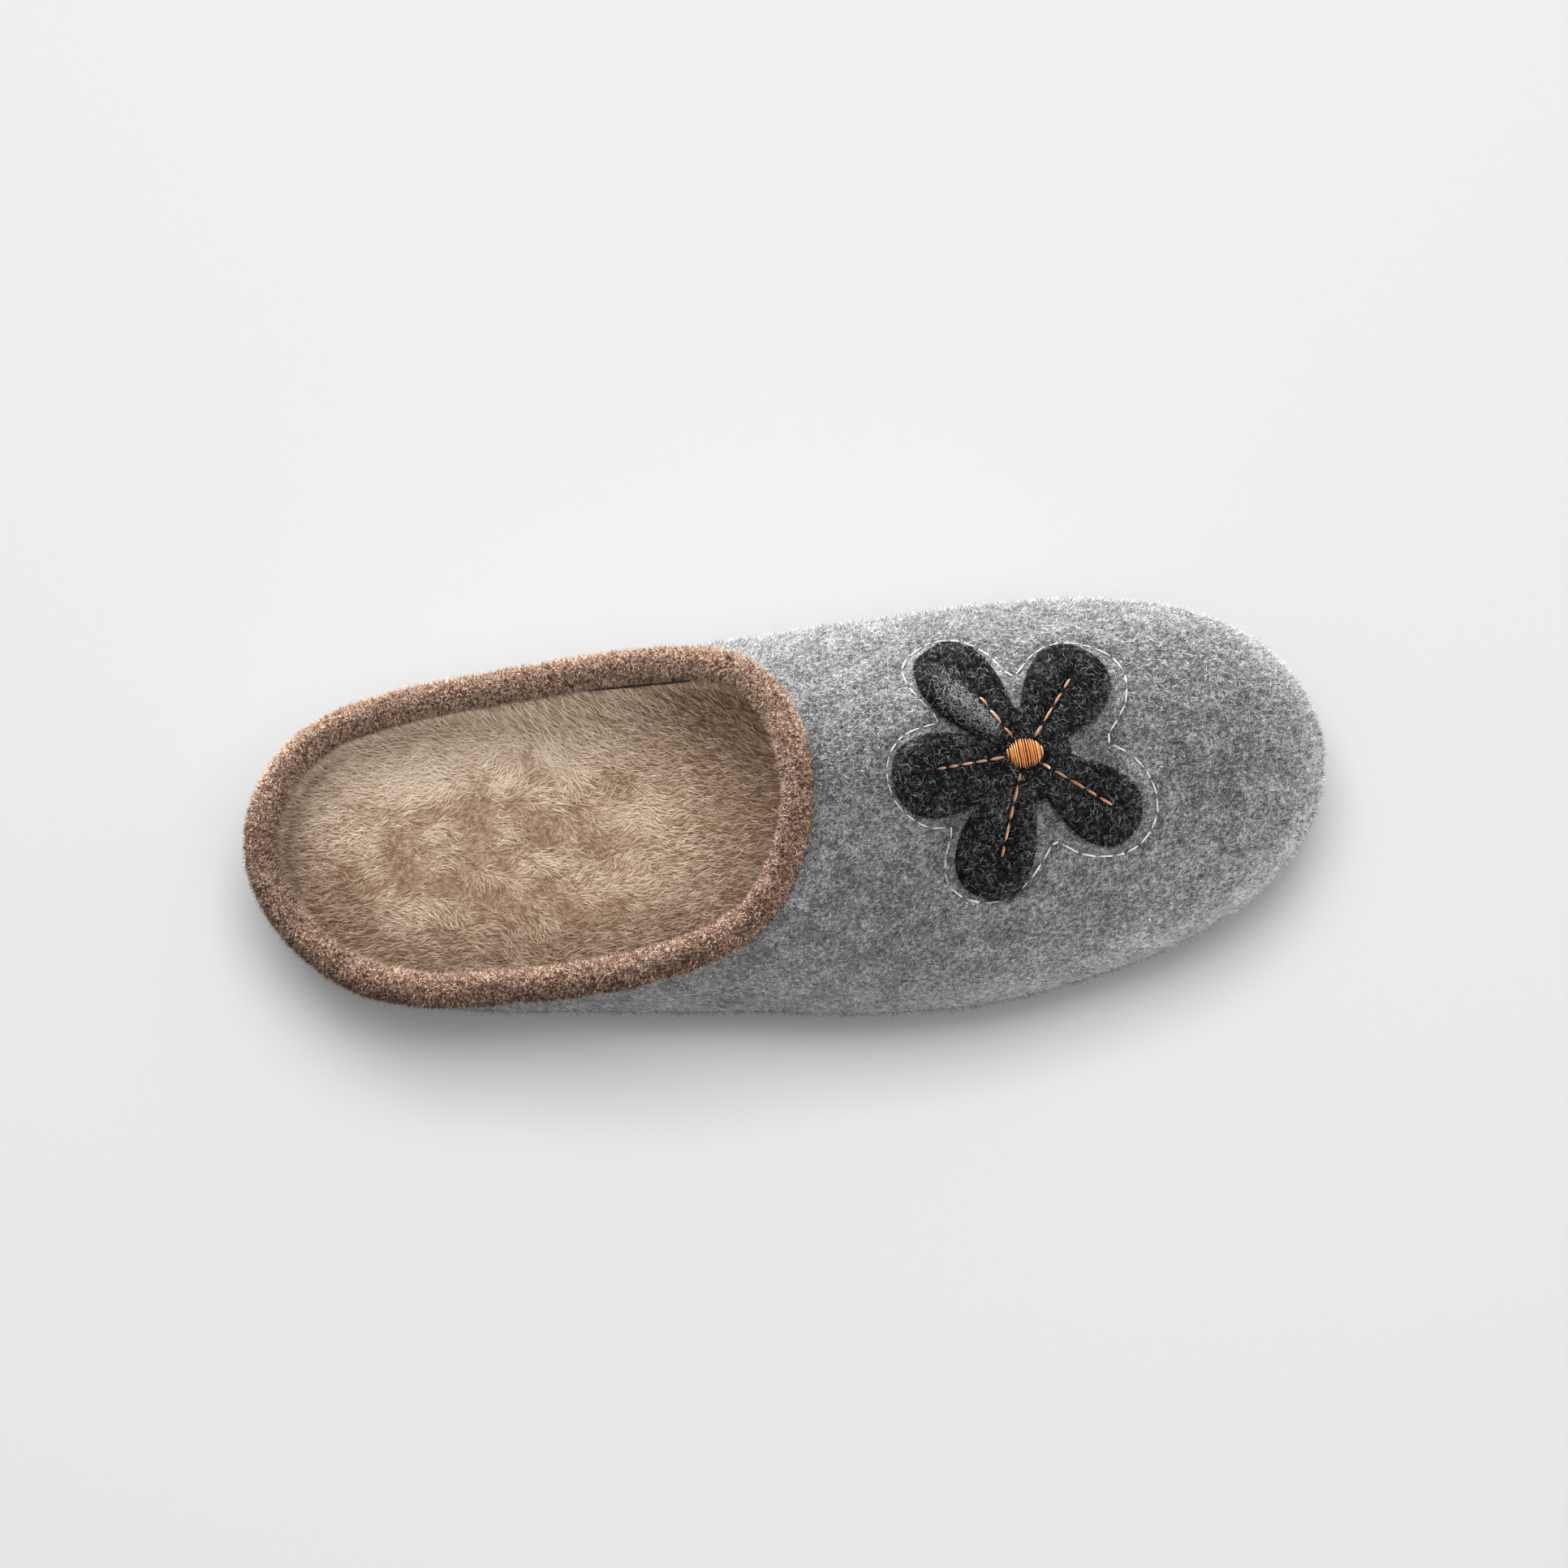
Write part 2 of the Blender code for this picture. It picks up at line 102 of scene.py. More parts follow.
# Rows of brown stitches down the petals: the way each runs in degrees, and how far from the flower's middle
VEIN_START = 0.0048
VEINS = ((124.5, 0.0204), (56.0, 0.0250), (-32.6, 0.0264), (-106.4, 0.0272), (-171.5, 0.0214))

# Ways that the footbed's pile lies at listed places: millimetres along and across, and degrees
COMBED = (
    (-118, 2, -2), (-105, 26, -8), (-75, 33, -16), (-40, 33, -34), (-10, 28, -40), (5, 8, 5), (0, -16, 8),
    (-25, -30, 8), (-55, -36, -8), (-85, -34, 6), (-108, -18, 2), (-95, -1, 10), (-81, -11, -60),
    (-72, 0, 25), (-60, 4, -50), (-45, -4, 20), (-68, -18, -45), (-69, 15, 25), (-55, 22, -45),
    (-30, 8, 0),
)

# Clumps pressed into the pile and light tufts, with painted shade on the clumps and painted light on the
# tufts: millimetres along and across, radius, and shift of tone
TUFTS_PAINTED = (
    (-94.5, 0.5, 5.6, -0.40), (-92.2, -7, 6, -0.36), (-88, 8.5, 4.6, -0.26), (-76, 7, 6, -0.30),
    (-81, -11, 4.4, -0.50), (-75.5, -3.5, 4.6, -0.40), (-69, -4.2, 4, -0.30), (-59, 2, 6, -0.44),
    (-65, 7.5, 3.6, -0.20), (-72, -14.8, 5.4, -0.36), (-66, -17.2, 4.8, -0.22), (-59, -11.2, 3.6, -0.26),
    (-55, -15.2, 4, -0.24), (-48.2, 2.5, 3.8, -0.24), (-48.8, 9, 3.6, -0.22), (-44.8, -3.6, 4, -0.26),
    (-37, -1, 4, -0.16), (-40, 11.5, 4.4, -0.18), (-42, -19.2, 4, -0.22), (-52, -20.2, 4.6, -0.22),
    (-61.8, 20.8, 3, -0.22), (-58.5, 16.6, 3, -0.24), (-73.5, 14, 3, -0.18), (-102, 9, 4.2, -0.14),
    (-109, -8, 5, -0.14), (-69, 15.5, 3.4, 0.30), (-57, 20.7, 3.6, 0.26), (-58.5, -5, 3.6, 0.22),
    (-72.8, -8.8, 3, 0.26), (-85, 4.5, 3, 0.16), (-51, 14.5, 5, 0.14), (-32, 6, 6, 0.12),
    (-94, -17, 7.5, 0.16), (-90, 15.5, 8, 0.12), (-101, 2, 4, 0.12),
)


def heading(turn):
    """The way in plan that an angle points."""
    return np.stack([np.cos(turn), np.sin(turn)], axis=-1)


def unit(vectors):
    return vectors / np.maximum(np.linalg.norm(vectors, axis=-1, keepdims=True), 1e-9)


def ease(share):
    share = np.clip(share, 0, 1)
    return share * share * (3 - 2 * share)


# Camera, floor and light


def make_camera():
    """The camera stands over the shoe, a little to its outer side, and is rolled as the photograph is."""
    back = Vector((0, -math.sin(CAMERA_TILT), math.cos(CAMERA_TILT)))
    level = Vector((0, math.cos(CAMERA_TILT), math.sin(CAMERA_TILT)))
    side = Vector((1, 0, 0))
    right = side * math.cos(CAMERA_ROLL) - level * math.sin(CAMERA_ROLL)
    up = side * math.sin(CAMERA_ROLL) + level * math.cos(CAMERA_ROLL)
    camera = bpy.data.objects.new("camera", bpy.data.cameras.new("camera"))
    camera.data.lens = LENS
    camera.data.clip_start = 0.01
    turn = Matrix((right, up, back)).transposed().to_4x4()
    camera.matrix_world = Matrix.Translation(LOOK_AT + back * CAMERA_DISTANCE) @ turn
    scene.collection.objects.link(camera)
    scene.camera = camera


def make_lamp(name, place, width, height, power, lit=None, aim=LOOK_AT, spread=math.pi):
    """A soft lamp that faces the shoe. Lit is the collection that it lights, or None for all."""
    lamp = bpy.data.objects.new(name, bpy.data.lights.new(name, "AREA"))
    lamp.data.shape = "RECTANGLE"
    lamp.data.size = width
    lamp.data.size_y = height
    lamp.data.energy = power
    lamp.data.spread = spread
    lamp.location = place
    lamp.rotation_euler = (aim - Vector(place)).to_track_quat("-Z", "Y").to_euler()
    lamp.light_linking.receiver_collection = lit
    scene.collection.objects.link(lamp)


def make_studio(shoe, plush, ground):
    """Soft light from above, with more on the floor than on the shoe. The shoe alone has a low window at its
    inner side, a low box at its toe and a narrow lamp on the toe's edge. The plush has a little more."""
    world = bpy.data.worlds.new("studio")
    scene.world = world
    world.use_nodes = True
    sky = world.node_tree.nodes["Background"]
    sky.inputs["Color"].default_value = (1.0, 1.0, 1.0, 1)
    sky.inputs["Strength"].default_value = 0.30
    make_lamp("top", (-0.05, 0.60, 1.80), 1.2, 1.2, 23.5)
    make_lamp("floor_light", (0.30, -0.10, 1.4), 0.8, 0.8, 3.0, ground)
    make_lamp("window", (-0.9, 2.4, 0.34), 1.6, 0.6, 225.0, shoe)
    make_lamp("toe_box", (2.55, -0.70, 0.06), 1.2, 0.12, 115.0, shoe)
    toe_edge = Vector((0.11, -0.03, 0.02))
    make_lamp("toe_grid", (1.78, -2.03, 0.10), 0.12, 0.10, 0.035, shoe, toe_edge, math.radians(4))
    make_lamp("bounce", (-0.32, -0.45, 0.85), 0.6, 0.4, 3.7, plush)
    scene.view_settings.view_transform = "Standard"
    scene.cycles.denoising_prefilter = "NONE"


def make_floor():
    mesh = bpy.data.meshes.new("floor")
    half = 3.0
    corners = [(-half, -half, 0), (half, -half, 0), (half, half, 0), (-half, half, 0)]
    mesh.from_pydata(corners, [], [(0, 1, 2, 3)])
    floor = bpy.data.objects.new("floor", mesh)
    scene.collection.objects.link(floor)
    material, _, surface = new_finish("floor", 0.9, 0.0, 0.5)
    surface.inputs["Base Color"].default_value = (0.86, 0.86, 0.86, 1)
    mesh.materials.append(material)
    floor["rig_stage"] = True
    return floor


# Node helpers


def put(tree, kind, inputs=(), **settings):
    """A new node with these settings. Inputs pairs a socket's name or number with a value or a socket."""
    made = tree.nodes.new(kind)
    for name, value in settings.items():
        setattr(made, name, value)
    for name, value in dict(inputs).items():
        if isinstance(value, bpy.types.NodeSocket):
            tree.links.new(value, made.inputs[name])
        else:
            made.inputs[name].default_value = value
    return made


def sums(tree, operation, first, second, clamp=False):
    inputs = {0: first, 1: second}
    return put(tree, "ShaderNodeMath", inputs, operation=operation, use_clamp=clamp).outputs[0]


def times(tree, first, second, clamp=False):
    return sums(tree, "MULTIPLY", first, second, clamp)


def added(tree, *values):
    return reduce(lambda first, second: sums(tree, "ADD", first, second), values)


def joined(tree, first, second):
    """Two vectors added."""
    return put(tree, "ShaderNodeVectorMath", {0: first, 1: second}, operation="ADD").outputs[0]


def scaled(tree, vector, share):
    return put(tree, "ShaderNodeVectorMath", {0: vector, "Scale": share}, operation="SCALE").outputs[0]


def mixed(tree, share, first, second):
    """One colour blended into another by a share that changes over the surface."""
    inputs = {"Factor": share, 6: first, 7: second}
    return put(tree, "ShaderNodeMix", inputs, data_type="RGBA").outputs[2]


def sockets(tree, **kinds):
    """Named inputs of a node group."""
    for name, kind in kinds.items():
        tree.interface.new_socket(name, in_out="INPUT", socket_type="NodeSocket" + kind)


# Meshes


def add_piece(name, mesh):
    piece = bpy.data.objects.new(name, mesh)
    scene.collection.objects.link(piece)
    return piece


def settle(piece):
    """Turns a piece's live modifiers into plain mesh."""
    graph = bpy.context.evaluated_depsgraph_get()
    shaped = piece.evaluated_get(graph)
    mesh = bpy.data.meshes.new_from_object(shaped, preserve_all_data_layers=True, depsgraph=graph)
    piece.modifiers.clear()
    old = piece.data
    piece.data = mesh
    bpy.data.meshes.remove(old)
    mesh.name = piece.name


MERGE_GAP = 1e-6
QUAD_ANGLE = math.radians(70)


def smooth_copy(name, node, levels, sharp=math.pi):
    """A solid's mesh as a new piece: merged, made quads and subdivided. Edges over the sharp angle stay."""
    shape = bmesh.new()
    shape.from_mesh(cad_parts[node].data)
    bmesh.ops.remove_doubles(shape, verts=shape.verts, dist=MERGE_GAP)
    limits = {"angle_face_threshold": QUAD_ANGLE, "angle_shape_threshold": QUAD_ANGLE}
    bmesh.ops.join_triangles(shape, faces=shape.faces, **limits)
    crease = shape.edges.layers.float.new("crease_edge")
    for edge in shape.edges:
        edge[crease] = float(edge.calc_face_angle(0.0) > sharp)
    mesh = bpy.data.meshes.new(name)
    shape.to_mesh(mesh)
    shape.free()
    mesh.materials.clear()
    piece = add_piece(name, mesh)
    rounding = piece.modifiers.new("rounding", "SUBSURF")
    rounding.levels = rounding.render_levels = levels
    settle(piece)
    piece.data.shade_smooth()
    return piece


@contextmanager
def edited(mesh):
    """The mesh opened for cutting, and put back when that is done."""
    shape = bmesh.new()
    shape.from_mesh(mesh)
    yield shape
    shape.to_mesh(mesh)
    shape.free()


def points_of(mesh):
    points = np.empty(len(mesh.vertices) * 3)
    mesh.vertices.foreach_get("co", points)
    return points.reshape(-1, 3)


def normals_of(mesh):
    normals = np.empty(len(mesh.vertices) * 3, np.float32)
    mesh.vertex_normals.foreach_get("vector", normals)
    return normals.reshape(-1, 3).astype(float)


def shape_of(piece):
    """Points and normals of a piece's mesh."""
    return points_of(piece.data), normals_of(piece.data)


def move_points(mesh, points):
    mesh.vertices.foreach_set("co", points.astype(np.float32).ravel())
    mesh.update()


def give(mesh, name, values):
    """A number or a vector for each point of the mesh."""
    values = np.asarray(values, np.float32)
    many = values.ndim == 2
    attribute = mesh.attributes.new(name, "FLOAT_VECTOR" if many else "FLOAT", "POINT")
    attribute.data.foreach_set("vector" if many else "value", values.ravel())


def surface_of(piece):
    return BVHTree.FromObject(piece, bpy.context.evaluated_depsgraph_get())


def gap_to(tree, points):
    """Distance from each point to a surface."""
    return np.array([tree.find_nearest(Vector(point))[3] for point in points])


def clear_of(points, tree, gap):
    """True where a point is at least this far from a surface."""
    return np.array([tree.find_nearest(Vector(point), gap)[0] is None for point in points])


def lumps(points, size, seed):
    """Slow random bumps between -1 and 1, one value a point."""
    shift = Vector((seed * 7.3, seed * 3.1, seed * 5.7))
    return np.array([noise.noise(Vector(point) / size + shift) for point in points])


def uneven(points, bumps):
    """Several sorts of bumps together, each given as its height, size and seed."""
    return sum(height * lumps(points, size, seed) for height, size, seed in bumps)


# Outlines of the flower


def petal_reach(angle):
    """How far the flower reaches from its middle this way."""
    total = PETAL_HUB**JOIN_POWER
    for degrees, reach, spread in PETALS:
        off = abs(math.remainder(angle - math.radians(degrees), math.tau))
        if off < math.radians(spread):
            side = math.sin(off) / math.sin(math.radians(spread))
            total += (reach * (1 - side**EDGE_POWER) ** (1 / TIP_POWER)) ** JOIN_POWER
    return total ** (1 / JOIN_POWER)


def seam_plan(count):
    """Places of the white seam in plan, all round."""
    degrees = np.arange(count) * 360 / count
    turns, reaches = np.array(SEAM_PLACES).T
    reach = np.interp(degrees, turns, reaches / 1000, period=360)
    return np.array(FLOWER) + reach[:, None] * heading(np.radians(degrees))


SEAM = seam_plan(720)


def plan_gap(points, path):
    """Distance in plan from each point to the nearest point of a path."""
    gaps = np.empty(len(points))
    for start in range(0, len(points), 4000):
        part = points[start : start + 4000, None, :2] - path[None]
        gaps[start : start + 4000] = np.sqrt((part**2).sum(-1).min(1))
    return gaps


# Geometry Nodes: fibres and stitches


def fibre_shape(name, points, faces, tips):
    """A fibre for the trees to repeat, about a unit long. Tips goes from 0 at its root to 1 at its tip."""
    mesh = bpy.data.meshes.new(name)
    mesh.from_pydata(points, [], faces)
    give(mesh, "tip", tips)
    return add_piece(name, mesh)


def blade(name, half, end):
    """A flat fibre of one face, this wide each way at its root, with its tip at end's (along, up)."""
    points = [(0.0, -half, 0.0), (0.0, half, 0.0), (end[0], 0.0, end[1])]
    return fibre_shape(name, points, [(0, 1, 2)], (0.0, 0.0, 1.0))


def bent_blade(name, half, middle, end):
    """A longer fibre of two faces that rises and then bends over: middle and end are its (along, up)."""
    along, up = middle
    points = [(0.0, 0.0, 0.0), (along, -half, up), (along, half, up), (end[0], 0.0, end[1])]
    return fibre_shape(name, points, [(0, 1, 2), (1, 3, 2)], (0.0, 0.45, 0.45, 1.0))


def curled_hair(name, half):
    """A thin hair that lies in a loose bow."""
    path = ((0.0, 0.0, 0.0), (0.30, 0.10, 0.14), (0.62, 0.02, 0.20), (0.88, -0.26, 0.12))
    points = [(along, across + side, up) for along, across, up in path for side in (-half, half)]
    faces = [(2 * row + 2, 2 * row + 3, 2 * row + 1, 2 * row) for row in range(len(path) - 1)]
    tips = [row / (len(path) - 1) for row in range(len(path)) for _ in range(2)]
    return fibre_shape(name, points, faces, tips)


def new_tree(name, **kinds):
    """A new Geometry Nodes tree with these named inputs, and the sockets that they come in by."""
    tree = bpy.data.node_groups.new(name, "GeometryNodeTree")
    sockets(tree, **kinds)
    tree.interface.new_socket("Made", in_out="OUTPUT", socket_type="NodeSocketGeometry")
    return tree, put(tree, "NodeGroupInput").outputs


def named(tree, name, kind="FLOAT"):
    """What the mesh gives under this name."""
    inputs = {"Name": name}
    return put(tree, "GeometryNodeInputNamedAttribute", inputs, data_type=kind).outputs["Attribute"]


def chance(tree, given, step, low, high):
    """A random number for each fibre or stitch. The step sets it apart from the tree's other ones."""
    inputs = {2: low, 3: high, "Seed": added(tree, given["Seed"], step)}
    return put(tree, "FunctionNodeRandomValue", inputs, data_type="FLOAT").outputs[1]


def chance_way(tree, given, step):
    """A random vector, each part between -1 and 1."""
    inputs = {0: (-1.0, -1.0, -1.0), 1: (1.0, 1.0, 1.0), "Seed": added(tree, given["Seed"], step)}
    return put(tree, "FunctionNodeRandomValue", inputs, data_type="FLOAT_VECTOR").outputs[0]


def repeat_shape(tree, given, shape, spots, turn, size, step):
    """Ends a tree: a copy of the shape on each spot, with its own shade, as plain mesh with a finish."""
    shape = put(tree, "GeometryNodeObjectInfo", {"Object": shape}).outputs["Geometry"]
    inputs = {"Points": spots, "Instance": shape, "Rotation": turn, "Scale": size}
    made = put(tree, "GeometryNodeInstanceOnPoints", inputs).outputs[0]
    inputs = {"Geometry": made, "Name": "shade", "Value": chance(tree, given, step, 0.0, 1.0)}
    settings = {"data_type": "FLOAT", "domain": "INSTANCE"}
    made = put(tree, "GeometryNodeStoreNamedAttribute", inputs, **settings).outputs[0]
    made = put(tree, "GeometryNodeRealizeInstances", {"Geometry": made}).outputs[0]
    made = put(tree, "GeometryNodeSetMaterial", {"Geometry": made, "Material": given["Finish"]}).outputs[0]
    put(tree, "NodeGroupOutput", {0: made})


def fibre_tree():
    """Fibres scattered over a surface. Cover thins them out, lay combs them, height shortens them."""
    kinds = {"Surface": "Geometry", "Fibre": "Object", "Seed": "Int", "Finish": "Material"}
    numbers = ("Density", "Length", "Shortest", "Comb", "Mess", "Lean")
    tree, given = new_tree("fibres", **kinds, **dict.fromkeys(numbers, "Float"))
    density = times(tree, given["Density"], named(tree, "cover"))
    inputs = {"Mesh": given["Surface"], "Density": density, "Seed": given["Seed"]}
    spots = put(tree, "GeometryNodeDistributePointsOnFaces", inputs).outputs
    combed = scaled(tree, named(tree, "lay", "FLOAT_VECTOR"), given["Comb"])
    way = joined(tree, combed, scaled(tree, chance_way(tree, given, 11.0), given["Mess"]))
    lean = scaled(tree, chance_way(tree, given, 23.0), given["Lean"])
    upright = joined(tree, spots["Normal"], lean)
    axes = {"Primary Axis": upright, "Secondary Axis": way}
    turn = put(tree, "FunctionNodeAxesToRotation", axes, primary_axis="Z", secondary_axis="X").outputs[0]
    size = times(tree, given["Length"], chance(tree, given, 37.0, given["Shortest"], 1.0))
    size = times(tree, size, named(tree, "height"))
    repeat_shape(tree, given, given["Fibre"], spots["Points"], turn, size, 53.0)
    return tree


def stitch_tree():
    """A stitch on each point: run gives its way and length, and up the side that shows."""
    kinds = {"Places": "Geometry", "Stitch": "Object", "Seed": "Int", "Finish": "Material"}
    tree, given = new_tree("stitches", **kinds, Thickness="Float")
    run, up = [named(tree, name, "FLOAT_VECTOR") for name in ("run", "up")]
    spots = put(tree, "GeometryNodeMeshToPoints", {"Mesh": given["Places"]}).outputs[0]
    axes = {"Primary Axis": run, "Secondary Axis": up}
    turn = put(tree, "FunctionNodeAxesToRotation", axes, primary_axis="X", secondary_axis="Z").outputs[0]
    length = put(tree, "ShaderNodeVectorMath", {0: run}, operation="LENGTH").outputs["Value"]
    girth = times(tree, chance(tree, given, 0.0, 0.85, 1.15), given["Thickness"])
    size = put(tree, "ShaderNodeCombineXYZ", {"X": length, "Y": girth, "Z": girth}).outputs[0]
    repeat_shape(tree, given, given["Stitch"], spots, turn, size, 7.0)
    return tree


def grow(piece, tree, **values):
    """Runs a tree on a piece with these inputs and leaves plain mesh."""
    modifier = piece.modifiers.new(tree.name, "NODES")
    modifier.node_group = tree
    for item in tree.interface.items_tree:
        if item.in_out == "INPUT" and item.name in values:
            modifier[item.identifier] = values[item.name]
    settle(piece)


class Coat(NamedTuple):
    """A coat of fibres: how many to the square metre, how long, how far they lean over, follow the lay and
    stray from it, and the shortest one's share of the length."""

    name: str
    slot: str
    fibre: bpy.types.Object
    finish: bpy.types.Material
    seed: int
    density: float
    length: float
    lean: float
    comb: float = 0.0
    mess: float = 1.0
    shortest: float = 0.4


NO_LAY = (0.0, 0.0, 0.0)


def finish_piece(piece, slot):
    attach(piece, "root")
    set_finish(piece, slot)


def grow_coat(coat, piece, cover, lay, tone, height=1.0):
    """Grows a coat on a copy of a piece's mesh."""
    mesh = piece.data.copy()
    give(mesh, "height", np.broadcast_to(height, len(cover)))
    give(mesh, "cover", cover)
    give(mesh, "lay", np.broadcast_to(lay, (len(cover), 3)))
    give(mesh, "tone", tone)
    bed = add_piece(coat.name, mesh)
    grow(bed, FIBRES, **{field.capitalize(): value for field, value in coat._asdict().items()})
    finish_piece(bed, coat.slot)


# Finishes


def clouds(tree, place, scale, strength):
    """Slow random shifts of tone about nought, on Object coordinates."""
    inputs = {"Vector": place, "Scale": scale, "Detail": 3.0, "Roughness": 0.6}
    cloud = put(tree, "ShaderNodeTexNoise", inputs).outputs["Fac"]
    return times(tree, sums(tree, "SUBTRACT", cloud, 0.5), strength)


def new_tones(name, numbers, outputs):
    """A shader group with three colours, grains, patches and more numbers as its named inputs."""
    tree = bpy.data.node_groups.new(name, "ShaderNodeTree")
    sockets(tree, **dict.fromkeys(("Dark", "Middle", "Light"), "Color"))
    sockets(tree, **dict.fromkeys(("Grain", "Grainy", "Patch", "Patchy", *numbers), "Float"))
    for output, kind in outputs.items():
        tree.interface.new_socket(output, in_out="OUTPUT", socket_type="NodeSocket" + kind)
    given = put(tree, "NodeGroupInput").outputs
    return tree, given, put(tree, "ShaderNodeTexCoord").outputs["Object"]


def three_tones(tree, share, given):
    """Dark, middle or light by a share from 0 to 1."""
    low = times(tree, share, 2.0, clamp=True)
    high = sums(tree, "SUBTRACT", times(tree, share, 2.0), 1.0, clamp=True)
    return mixed(tree, high, mixed(tree, low, given["Dark"], given["Middle"]), given["Light"])


def felt_tones():
    """Heathered felt: dark and light fibres pressed together in grains and patches."""
    tree, given, place = new_tones("felt_tones", (), {"Colour": "Color", "Height": "Float"})
    grain = clouds(tree, place, given["Grain"], given["Grainy"])
    fine = clouds(tree, place, times(tree, given["Grain"], 3.0), given["Grainy"])
    patch = clouds(tree, place, given["Patch"], given["Patchy"])
    share = added(tree, grain, fine, patch, 0.5)
    put(tree, "NodeGroupOutput", {0: three_tones(tree, share, given), 1: share})
    return tree


def fibre_tones():
    """Colour of fibres: each has its own shade, grains, patches and the mesh's tone shift it, and tips are
    paler. The tone holds random streaks and painted light and shade.
    """
    tree, given, place = new_tones("fibre_tones", ("Own", "Tip"), {"Colour": "Color"})
    nodes = [put(tree, "ShaderNodeAttribute", attribute_name=name) for name in ("shade", "tone", "tip")]
    shade, tone_with_painted_light, tip = [node.outputs["Fac"] for node in nodes]
    grain = clouds(tree, place, given["Grain"], given["Grainy"])
    patch = clouds(tree, place, given["Patch"], given["Patchy"])
    own = times(tree, sums(tree, "SUBTRACT", shade, 0.5), given["Own"])
    tip = times(tree, sums(tree, "SUBTRACT", tip, 0.5), given["Tip"])
    share = added(tree, grain, patch, own, tone_with_painted_light, tip, 0.5)
    put(tree, "NodeGroupOutput", {0: three_tones(tree, share, given)})
    return tree


def linear(value):
    """A screen's value, 0 to 255, as a share of light."""
    share = value / 255
    return share / 12.92 if share < 0.04045 else ((share + 0.055) / 1.055) ** 2.4


def cloth(dark, middle, light, grain, grainy, patch, patchy):
    """Three colours as a screen shows them, with how many grains and patches to the metre, and how strong."""
    made = {"Grain": grain, "Grainy": grainy, "Patch": patch, "Patchy": patchy}
    for name, colour in (("Dark", dark), ("Middle", middle), ("Light", light)):
        made[name] = (*[linear(value) for value in colour], 1.0)
    return made


def new_finish(name, roughness, sheen, specular=0.2):
    material = bpy.data.materials.new(name)
    material.use_nodes = True
    surface = material.node_tree.nodes["Principled BSDF"]
    surface.inputs["Roughness"].default_value = roughness
    surface.inputs["Sheen Weight"].default_value = sheen
    surface.inputs["Specular IOR Level"].default_value = specular
    return material, material.node_tree, surface


def felt_finish(name, bump, sheen=0.15, specular=0.2, **values):
    material, tree, surface = new_finish(name, 0.95, sheen, specular)
    tones = put(tree, "ShaderNodeGroup", values, node_tree=FELT_TONES)
    tree.links.new(tones.outputs["Colour"], surface.inputs["Base Color"])
    inputs = {"Height": tones.outputs["Height"], "Strength": bump, "Distance": 0.0006}
    tree.links.new(put(tree, "ShaderNodeBump", inputs).outputs[0], surface.inputs["Normal"])
    return material


def fibre_finish(name, sheen=0.1, roughness=0.9, specular=0.2, **values):
    material, tree, surface = new_finish(name, roughness, sheen, specular)
    tones = put(tree, "ShaderNodeGroup", values, node_tree=FIBRE_TONES)
    tree.links.new(tones.outputs["Colour"], surface.inputs["Base Color"])
    return material


def thread_finish(name, dark, middle, light, roughness=0.6):
    strands = cloth(dark, middle, light, 1500.0, 0.6, 300.0, 0.3)
    return fibre_finish(name, roughness=roughness, Own=0.5, Tip=0.0, **strands)


def rubber_finish():
    """Dark crepe rubber with a fine moulded grain."""
    material, tree, surface = new_finish("sole_rubber", 0.8, 0.0)
    place = put(tree, "ShaderNodeTexCoord").outputs["Object"]
    grain, scuffs = [
        put(tree, "ShaderNodeTexNoise", {"Vector": place, "Scale": scale, "Detail": detail}).outputs["Fac"]
        for scale, detail in ((1400.0, 5.0), (60.0, 6.0))
    ]
    shade = added(tree, times(tree, grain, 0.6), times(tree, scuffs, 0.4))
    colour = mixed(tree, shade, (0.022, 0.021, 0.020, 1), (0.080, 0.077, 0.073, 1))
    tree.links.new(colour, surface.inputs["Base Color"])
    roughness = added(tree, times(tree, scuffs, 0.3), 0.6)
    tree.links.new(roughness, surface.inputs["Roughness"])
    bump = put(tree, "ShaderNodeBump", {"Height": grain, "Strength": 0.4, "Distance": 0.0004})
    tree.links.new(bump.outputs[0], surface.inputs["Normal"])
    return material


FELT_TONES = felt_tones()
FIBRE_TONES = fibre_tones()
FIBRES = fibre_tree()
STITCHES = stitch_tree()

GREY = cloth((26, 26, 27), (97, 97, 98), (194, 194, 195), 950.0, 1.25, 150.0, 0.7)
# The fuzz's paler colours are painted sheen.
FUZZ = cloth((70, 70, 71), (186, 186, 187), (238, 238, 239), 950.0, 1.25, 150.0, 0.7)
BROWN = cloth((44, 24, 17), (122, 82, 63), (234, 208, 184), 1300.0, 1.5, 260.0, 0.5)
BEIGE = cloth((148, 114, 90), (217, 191, 163), (248, 234, 215), 400.0, 0.6, 160.0, 0.4)
BLACK = cloth((10, 10, 11), (20, 20, 21), (160, 160, 162), 950.0, 0.5, 150.0, 0.3)
PALE = cloth((18, 18, 19), (56, 56, 58), (182, 182, 183), 950.0, 0.5, 150.0, 0.3)
GREY_FELT = felt_finish("grey_felt", 0.5, sheen=0.5, **GREY)
GREY_NAP = fibre_finish("grey_nap", sheen=0.5, Own=1.4, Tip=0.1, **GREY)
GREY_FUZZ = fibre_finish("grey_fuzz", sheen=0.8, Own=0.7, Tip=0.2, **FUZZ)
BROWN_FELT = felt_finish("brown_felt", 0.6, **BROWN)
BROWN_NAP = fibre_finish("brown_nap", Own=1.5, Tip=0.2, **BROWN)
PLUSH_CLOTH = felt_finish("plush_cloth", 0.3, **BEIGE)
PLUSH_PILE = fibre_finish("plush_pile", sheen=0.2, Own=1.0, Tip=0.4, **BEIGE)
BLACK_FELT = felt_finish("black_felt", 0.6, sheen=0.0, specular=0.05, **BLACK)
BLACK_NAP = fibre_finish("black_nap", sheen=0.0, specular=0.05, Own=0.8, Tip=0.0, **BLACK)
PALE_HAIR = fibre_finish("pale_hair", specular=0.1, Own=1.1, Tip=0.0, **PALE)
